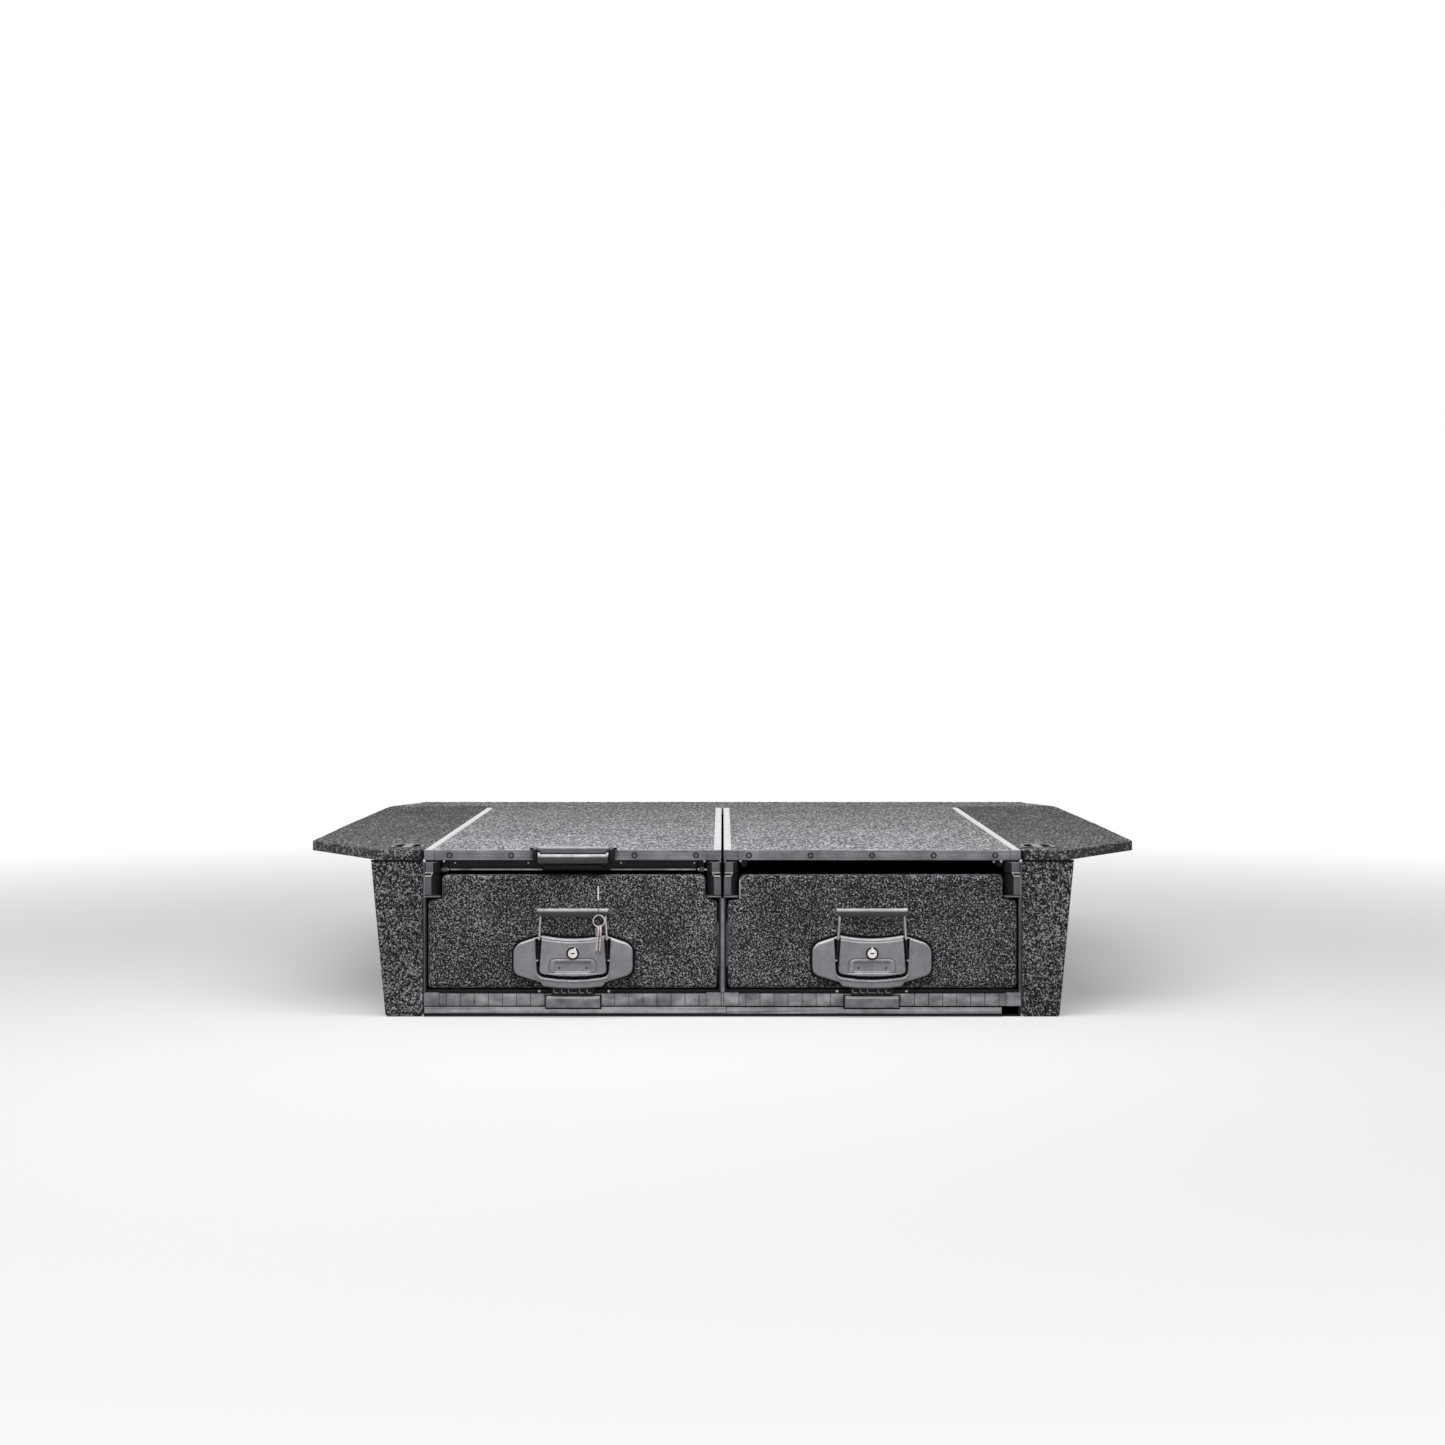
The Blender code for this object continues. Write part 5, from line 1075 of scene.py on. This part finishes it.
def grip(side):
    """Moulded grip of radius 7.3 mm, shorter below than above, with a seam along its top.

    Its underside is drawn in by a raised cosine along its length, 0.55 mm deep and 6.1 mm a wave.
    """
    x, y = SIGNS[side] * HANDLE_X, FRONT - BAIL_PROUD
    half, radius = 0.0612, 0.0073
    ends = np.array([0.0, 0.0003, 0.0012, 0.0030])
    along = np.concatenate([ends - half, np.linspace(-half + 0.005, half - 0.005, 96), half - ends[::-1]])
    end = half - np.abs(along)
    swell = radius - 0.0016 * (1 - np.clip(end / 0.0016, 0, 1)) ** 2
    swell = swell + 0.0003 * smooth_step(0.004 - end, 0.0, 0.002)
    wave = 0.00055 * (1 + np.cos(2 * math.pi * along / 0.0061)) / 2 * smooth_step(end, 0.006, 0.010)
    turn = np.linspace(0, 2 * math.pi, 40, endpoint=False)
    below = np.clip(-np.sin(turn), 0, 1)
    r = swell[:, None] - wave[:, None] * below ** 2
    rings = np.stack([x + along[:, None] * (1 - 0.11 * below), y - r * np.cos(turn),
                      GRIP_Z + r * np.sin(turn)], -1)
    top = GRIP_Z + radius
    seam = block((x - half + 0.004, x + half - 0.004), (y - 0.0004, y + 0.0004), (top - 0.0006, top + 0.0002),
                 0.0001)
    piece(f"{side}_grip", GRIP_NYLON, f"{side}_bail", [loft(rings), seam],
          [f"{side}_bail_grip"])


def tongue(side):
    """Latch tongue: a rounded block with five windows framed by thin ribs, on a tang up into the handle."""
    (x0, face, bottom), (x1, back, top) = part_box(f"{side}_latch_tongue")
    x = (x0 + x1) / 2
    windows = [(x + offset - width / 2, x + offset + width / 2) for offset, width in (
        (-0.0282, 0.0068), (-0.0150, 0.0068), (0.0, 0.0135), (0.0150, 0.0068), (0.0282, 0.0068))]

    def height(points):
        """The tongue's face, sunk in its windows by smooth steps of the distance to their edges."""
        sunk = np.zeros(len(points))
        for start, end in windows:
            inside = distance(points, rectangle(start, end, 0.0425, 0.0486))[0]
            sunk = np.maximum(sunk, 0.0022 * smooth_step(inside, -0.0002, 0.0004))
        return FRONT - face - sunk

    outline = rounded(rectangle(x0, x1, bottom, 0.0505), 0.0008, 2)
    body = relief("front", outline, 0.0006, height, FRONT - back, 0.0006, steps=2)
    tang = block((x0 + 0.0010, x1 - 0.0010), (FRONT - 0.0102, back), (0.0495, top))
    piece(f"{side}_tongue", BLACK_ABS, f"{side}_latch", [body, tang],
          [f"{side}_latch_tongue"])
    # pale ribs round the windows: painted highlights with some rubbing
    ribs = [block((start - 0.0016, start), (face - 0.0004, face + 0.0010), (0.0428, 0.0482), 0.0003)
            for start, _ in windows]
    ribs += [block(window, (face - 0.0003, face + 0.0010), (0.0418, 0.0426), 0.0002) for window in windows]
    piece(f"{side}_tongue_ribs", RUBBED_HIGHLIGHT_ABS, f"{side}_latch", ribs)


for side in SIGNS:
    handle(side)
    lock(side)
    bail(side)
    grip(side)
    tongue(side)


# Key set

def split_ring():
    """Ring of round wire in the plane of the fronts."""
    low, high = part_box("key_ring")
    x, y, z = ((a + b) / 2 for a, b in zip(low, high))
    wire = 0.0009
    radius = (high[0] - low[0]) / 2 - wire
    turn = np.linspace(0, 2 * math.pi, 64, endpoint=False)
    path = np.stack([x + radius * np.cos(turn), np.full(64, y), z + radius * np.sin(turn)], 1)
    ring = tube(path, wire, (0, 1, 0), 10, cyclic=True)
    piece("split_ring", NICKEL, "keys", [ring], ["key_ring"])


def hung_key(node, seed, yaw, lean):
    """A flat key turned a little on its ring: a bow with an eye, and a blade with random cuts.

    Its points go round the eye by yaw about the vertical, and its foot swings sideways by lean, in degrees.
    """
    (x0, y0, bottom), (x1, y1, top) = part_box(node)
    middle, bow_radius, blade_half, rim, eye_rim = (y0 + y1) / 2, 0.010, 0.0048, 0.0004, 0.0003
    bow_z = top - bow_radius
    neck_z = bow_z - 0.0095
    eye_z = bow_z + 0.0072
    cuts = np.random.default_rng(seed).uniform(0.0, 0.0018, 9)
    heights = np.linspace(bow_z - 0.013, bottom + 0.0025, 9)
    outline = [(middle + blade_half, neck_z)] + list(zip(middle + blade_half - cuts, heights))
    outline += [(middle, bottom), (middle - blade_half, bottom + 0.003), (middle - blade_half, neck_z)]
    blade = slab("X", outline, x0 + 0.0003, x1 - 0.0003, 0.0002, 0.0002, 1)
    turn = np.linspace(0, 2 * math.pi, 40, endpoint=False)
    circle = np.stack([np.cos(turn), np.sin(turn)], 1)
    outer = np.array([middle, bow_z]) + bow_radius * circle
    eye = np.array([middle, eye_z]) + 0.0025 * circle
    sections = [(outer, x0 + rim), (inset(outer, rim), x0), (inset(eye, -eye_rim), x0), (eye, x0 + eye_rim),
                (eye, x1 - eye_rim), (inset(eye, -eye_rim), x1), (inset(outer, rim), x1), (outer, x1 - rim)]
    bow = loft([place("X", shape, along) for shape, along in sections], cyclic=True)
    pivot = np.array([(x0 + x1) / 2, middle, eye_z])
    yaw, lean = math.radians(yaw), math.radians(lean)
    around = np.array([[math.cos(yaw), math.sin(yaw), 0], [-math.sin(yaw), math.cos(yaw), 0], [0, 0, 1]])
    aside = np.array([[math.cos(lean), 0, math.sin(lean)], [0, 1, 0], [-math.sin(lean), 0, math.cos(lean)]])
    shells = [((points - pivot) @ around @ aside + pivot, faces) for points, faces in (bow, blade)]
    piece(node.replace("key_", "hung_key_"), NICKEL, "keys", shells, [node])


def tie_twist():
    """Standing tail of the wire tie: two strands that go round each other three times, each a helix."""
    low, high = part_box("key_tie")
    x, y, length, offset = low[0] + 0.0006, FRONT - BAIL_PROUD - 0.0030, 0.0235, 0.0007
    rise = np.linspace(0, 1, 60)
    strands = []
    for phase in (0.0, math.pi):
        angle = phase + 6 * math.pi * rise
        path = np.stack([x + offset * np.cos(angle), y + offset * np.sin(angle),
                         high[2] - length + length * rise], 1)
        strands.append(tube(path, 0.0009, (0, 0.9999, 0.01), 8))
    # standing tail painted bright, as it stands up in the light
    piece("tie_twist", LIT_TIE_WIRE, "left_bail", strands)


split_ring()
hung_key("key_one", 5, 17, -3.5)
hung_key("key_two", 6, 13, -2.0)
tie_twist()


# Tie-down cups

def tie_down(side):
    """Moulded cup: rolled rim, sunk oblong hollow and a rounded bar along its middle."""
    node = f"{side}_tie_down_cup"
    low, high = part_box(node)
    x, y, bottom, top = (low[0] + high[0]) / 2, (low[1] + high[1]) / 2, low[2], high[2]
    wall = [(0.0006, bottom), (0.0003, DECK_TOP), (-0.0026, DECK_TOP + 0.0004), (-0.0030, DECK_TOP + 0.0009),
            (-0.0024, top), (0.0010, top), (0.0022, top - 0.0008), (0.0025, top - 0.0020),
            (0.0027, bottom + 0.0030)]
    width, length = CUP_SIZE
    cup = loft([place("Z", stadium((x, y), width - 2 * amount, length - 2 * amount), level)
                for amount, level in wall])
    half, reach, bar_top = 0.008, 0.0412, top - HAIR
    section = rounded(rectangle(x - half, x + half, bar_top - half, bar_top), 0.0025)
    bar = slab("Y", section, y - reach, y + reach)
    piece(f"{side}_tie_down", BLACK_ABS, "root", [cup], [node])
    piece(f"{side}_tie_down_bar", BLACK_ABS, "root", [bar])


for side in SIGNS:
    tie_down(side)


# Roller deck pull and the parts under the deck's front edge

def pull_frame():
    """Moulded frame: back plate, hood over the bar, cheeks with rounded shoulders, lugs, feet and a lip."""
    x, top = -HANDLE_X, 0.2905
    hood = from_side((0.0005, 0.2904), (0.0110, top), (0.0143, 0.2896), (0.0155, 0.2872), (0.0152, 0.2846),
                     (0.0138, 0.2836), (0.0005, 0.2838))
    under = from_side((0.0030, 0.2804), (0.0150, 0.2804), (0.0152, 0.2848), (0.0030, 0.2848))
    piece("pull_hood", CAP_ABS, "roller_deck",
          [slab("X", rounded(hood, 0.0006, 2), x - 0.0605, x + 0.0605),
           slab("X", rounded(under, 0.0004, 2), x - 0.0552, x + 0.0552)])
    cheek = from_side((-0.0030, top), (0.0118, top), (0.0155, 0.2862), (0.0155, 0.2700), (0.0110, 0.2650),
                      (-0.0030, 0.2650))
    plate_half = PULL_HALF - 0.001
    shells = [block((x - plate_half, x + plate_half), depths(-0.0037, 0.0012), (0.2652, 0.2890))]
    for sign in (-1, 1):
        cheek_x = sorted((x + sign * PULL_HALF, x + sign * 0.0612))
        lug_x = (x + sign * 0.0743, x + sign * 0.0680)
        foot_x = (x + sign * 0.0560, x + sign * 0.0500)
        shells += [slab("X", rounded(cheek, 0.0016, 3), *cheek_x, 0.0016, 0.0016),
                   block(lug_x, depths(0.0004, -0.0046), (0.2847, 0.2886)),
                   block(foot_x, depths(0.0006, 0.0060), (0.2536, 0.2706), 0.0010)]
    shells.append(block((x - 0.0558, x + 0.0558), depths(-0.0008, 0.0060), (0.2535, 0.2590), 0.0012))
    piece("pull_bezel", BLACK_ABS, "roller_deck", shells, ["deck_pull_frame"])


def pull_bar():
    """Rounded bar with a flat grip face, on two arms that turn on pins in the cheeks."""
    x, half = -HANDLE_X, 0.0600
    section = from_side((0.0167, 0.2626), (0.0167, 0.2785), (0.0200, 0.2790), (0.0262, 0.2776),
                        (0.0289, 0.2742), (0.0289, 0.2672), (0.0262, 0.2634), (0.0210, 0.2620))
    arm = from_side((0.0042, 0.2818), (0.0110, 0.2818), (0.0225, 0.2775), (0.0225, 0.2722), (0.0042, 0.2722))
    shells = [slab("X", rounded(section, 0.0016, 3), x - half, x + half, 0.0018, 0.0018)]
    for sign in (-1, 1):
        span = sorted((x + sign * 0.0602, x + sign * 0.0562))
        shells += [slab("X", rounded(arm, 0.0012, 2), *span, 0.0005, 0.0005, 2),
                   turned((x + sign * half, FRONT - 0.0075, 0.2785), (sign, 0, 0),
                          [(0.0018, -0.0010), (0.0018, 0.0034), (0.0014, 0.0038)], 14)]
    piece("pull_bar", GRIP_NYLON, "deck_pull", shells, ["deck_pull_paddle"])


def beam_front():
    """Bright bar along the foot of the beam, in two lengths beside the pull, and the beam's screws."""
    (x0, face, _), (x1, _, _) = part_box("roller_deck_beam")
    for name, x in (("left", (x0 + 0.002, -0.3080)), ("right", (-0.1910, x1 - 0.002))):
        piece(f"beam_edge_bar_{name}", SILL_METAL, "roller_deck",
              [block(x, (face + 0.0002, face + 0.0058), (0.2494, 0.2521))])
    screws = [pan_screw(x, FRONT - face - HAIR, 0.2622, 0.0020) for x in (-0.4577, -0.3320, -0.1737, -0.0482)]
    piece("beam_screws", BAIL_STEEL, "roller_deck", screws)


def sill_cover(side):
    """Black cover behind the sill, with two bright screws above it."""
    x0, x1 = MODULE[side]
    cover = block((x0 + 0.0052, x1 - 0.0052), depths(-0.0028, -0.0110), (0.0397, 0.0462), 0.0006)
    piece(f"{side}_sill_cover", BLACK_STEEL, "root", [cover])
    screws = [pan_screw(SIGNS[side] * HANDLE_X + u, -0.0030, 0.0430) for u in (-0.0585, 0.0600)]
    piece(f"{side}_sill_screws", NICKEL, "root", screws)


pull_frame()
pull_bar()
beam_front()
for side in SIGNS:
    sill_cover(side)
# pale edging at the notch: a painted highlight with some rubbing
piece("right_notch_edging", RUBBED_HIGHLIGHT_ABS, "right_drawer",
      [block((0.0287, 0.0309), depths(0.0010, -0.0050), (0.2010, 0.2330), 0.0004)])
piece("fixed_deck_clip", ZINC, "root",
      [pan_screw(x, -0.0030, 0.2644, 0.0022) for x in (0.4640, 0.4770)])


# Floor, light and camera

def paper_floor():
    """A pale floor that fades to white from 0.9 to 3.6 m away; it throws up less light than it shows."""
    half, level = 14, -0.0003
    mesh = bpy.data.meshes.new("studio_floor")
    mesh.from_pydata([(-half, -half, level), (half, -half, level), (half, half, level), (-half, half, level)],
                     [], [(0, 1, 2, 3)])
    floor = bpy.data.objects.new("studio_floor", mesh)
    bpy.context.scene.collection.objects.link(floor)
    material, tree, shader, where = shader_of("pale_paper_floor")
    path = tree.nodes.new("ShaderNodeLightPath").outputs
    seen = add(tree, "ShaderNodeMath", {0: path["Is Camera Ray"], 1: path["Is Glossy Ray"]},
               operation="MAXIMUM")
    paper = add(tree, "ShaderNodeMix", {"Factor": seen, "A": linear("#8c8c8c"), "B": linear("#e4e4e4")},
                data_type="RGBA")
    tree.links.new(paper.outputs["Result"], shader.inputs["Base Color"])
    shader.inputs["Roughness"].default_value = 0.9
    shader.inputs["Specular IOR Level"].default_value = 0.1
    away = add(tree, "ShaderNodeVectorMath", {0: where}, operation="LENGTH").outputs["Value"]
    fade = add(tree, "ShaderNodeMapRange", {0: away, 1: 0.9, 2: 3.6, 3: 0.30, 4: 1.0})
    faded = add(tree, "ShaderNodeMath", {0: fade, 1: seen}, operation="MULTIPLY")
    white = add(tree, "ShaderNodeEmission", {"Color": linear("#ffffff")})
    blend = add(tree, "ShaderNodeMixShader", {0: faded, 1: shader, 2: white})
    tree.links.new(blend.outputs[0], tree.nodes["Material Output"].inputs["Surface"])
    mesh.materials.append(material)


def room():
    """A room that is white to the camera, and otherwise of a strength of base + weights . |direction|.

    To glossy rays it is bright above, before and behind and dim at its sides, and to others dim all round.
    """
    world = bpy.data.worlds.new("studio")
    bpy.context.scene.world = world
    world.use_nodes = True
    tree = world.node_tree
    path = tree.nodes.new("ShaderNodeLightPath").outputs
    way = add(tree, "ShaderNodeVectorMath", {0: tree.nodes.new("ShaderNodeTexCoord").outputs["Generated"]},
              operation="ABSOLUTE")

    def sky(weights, base):
        """Strength in a direction: base + weights . |direction|."""
        towards = add(tree, "ShaderNodeVectorMath", {0: way, 1: weights}, operation="DOT_PRODUCT")
        return add(tree, "ShaderNodeMath", {0: towards.outputs["Value"], 1: base}, operation="ADD")

    soft = sky((0.0, 0.20, 0.08), 0.08)
    shine = add(tree, "ShaderNodeMath", {0: sky((0.0, 0.49, 0.66), 0.13), 1: path["Is Glossy Ray"], 2: soft},
                operation="MULTIPLY_ADD")
    shown = add(tree, "ShaderNodeMath", {0: shine, 1: path["Is Camera Ray"]}, operation="MAXIMUM")
    background = tree.nodes["Background"].inputs
    background["Color"].default_value = linear("#ffffff")
    tree.links.new(shown.outputs[0], background["Strength"])


def softbox(name, spot, aim, size, power):
    """Rectangular lamp turned to its aim. It doesn't show in glossy rays, where it would burn metal out."""
    lamp = bpy.data.lights.new(name, "AREA")
    lamp.shape = "RECTANGLE"
    lamp.size, lamp.size_y = size
    lamp.energy = power
    holder = bpy.data.objects.new(name, lamp)
    holder.location = spot
    holder.visible_glossy = False
    away = np.array(spot) - np.array(aim)
    holder.rotation_euler = (math.atan2(math.hypot(away[0], away[1]), away[2]), 0.0,
                             math.atan2(away[0], -away[1]))
    bpy.context.scene.collection.objects.link(holder)


def photo_camera():
    """Level camera, centred, 4.68 m in front of the trims and 0.34 m above the deck."""
    data = bpy.data.cameras.new("photo_camera")
    data.sensor_width = 36.0
    data.lens = 68.24
    data.shift_y = -0.0495
    camera = bpy.data.objects.new("photo_camera", data)
    camera.location = (0.0, FRONT - 4.68, DECK_TOP + 0.34)
    camera.rotation_euler = (math.pi / 2, 0.0, 0.0)
    bpy.context.scene.collection.objects.link(camera)
    bpy.context.scene.camera = camera


paper_floor()
room()
softbox("overhead_softbox", (0.0, -1.05, 1.75), (0.0, -0.45, 0.2), (2.4, 0.9), 30.0)
softbox("front_softbox", (-0.6, -2.6, 2.0), (0.0, -0.7, 0.15), (1.6, 0.8), 28.0)
photo_camera()
bpy.context.scene.view_settings.view_transform = "Standard"
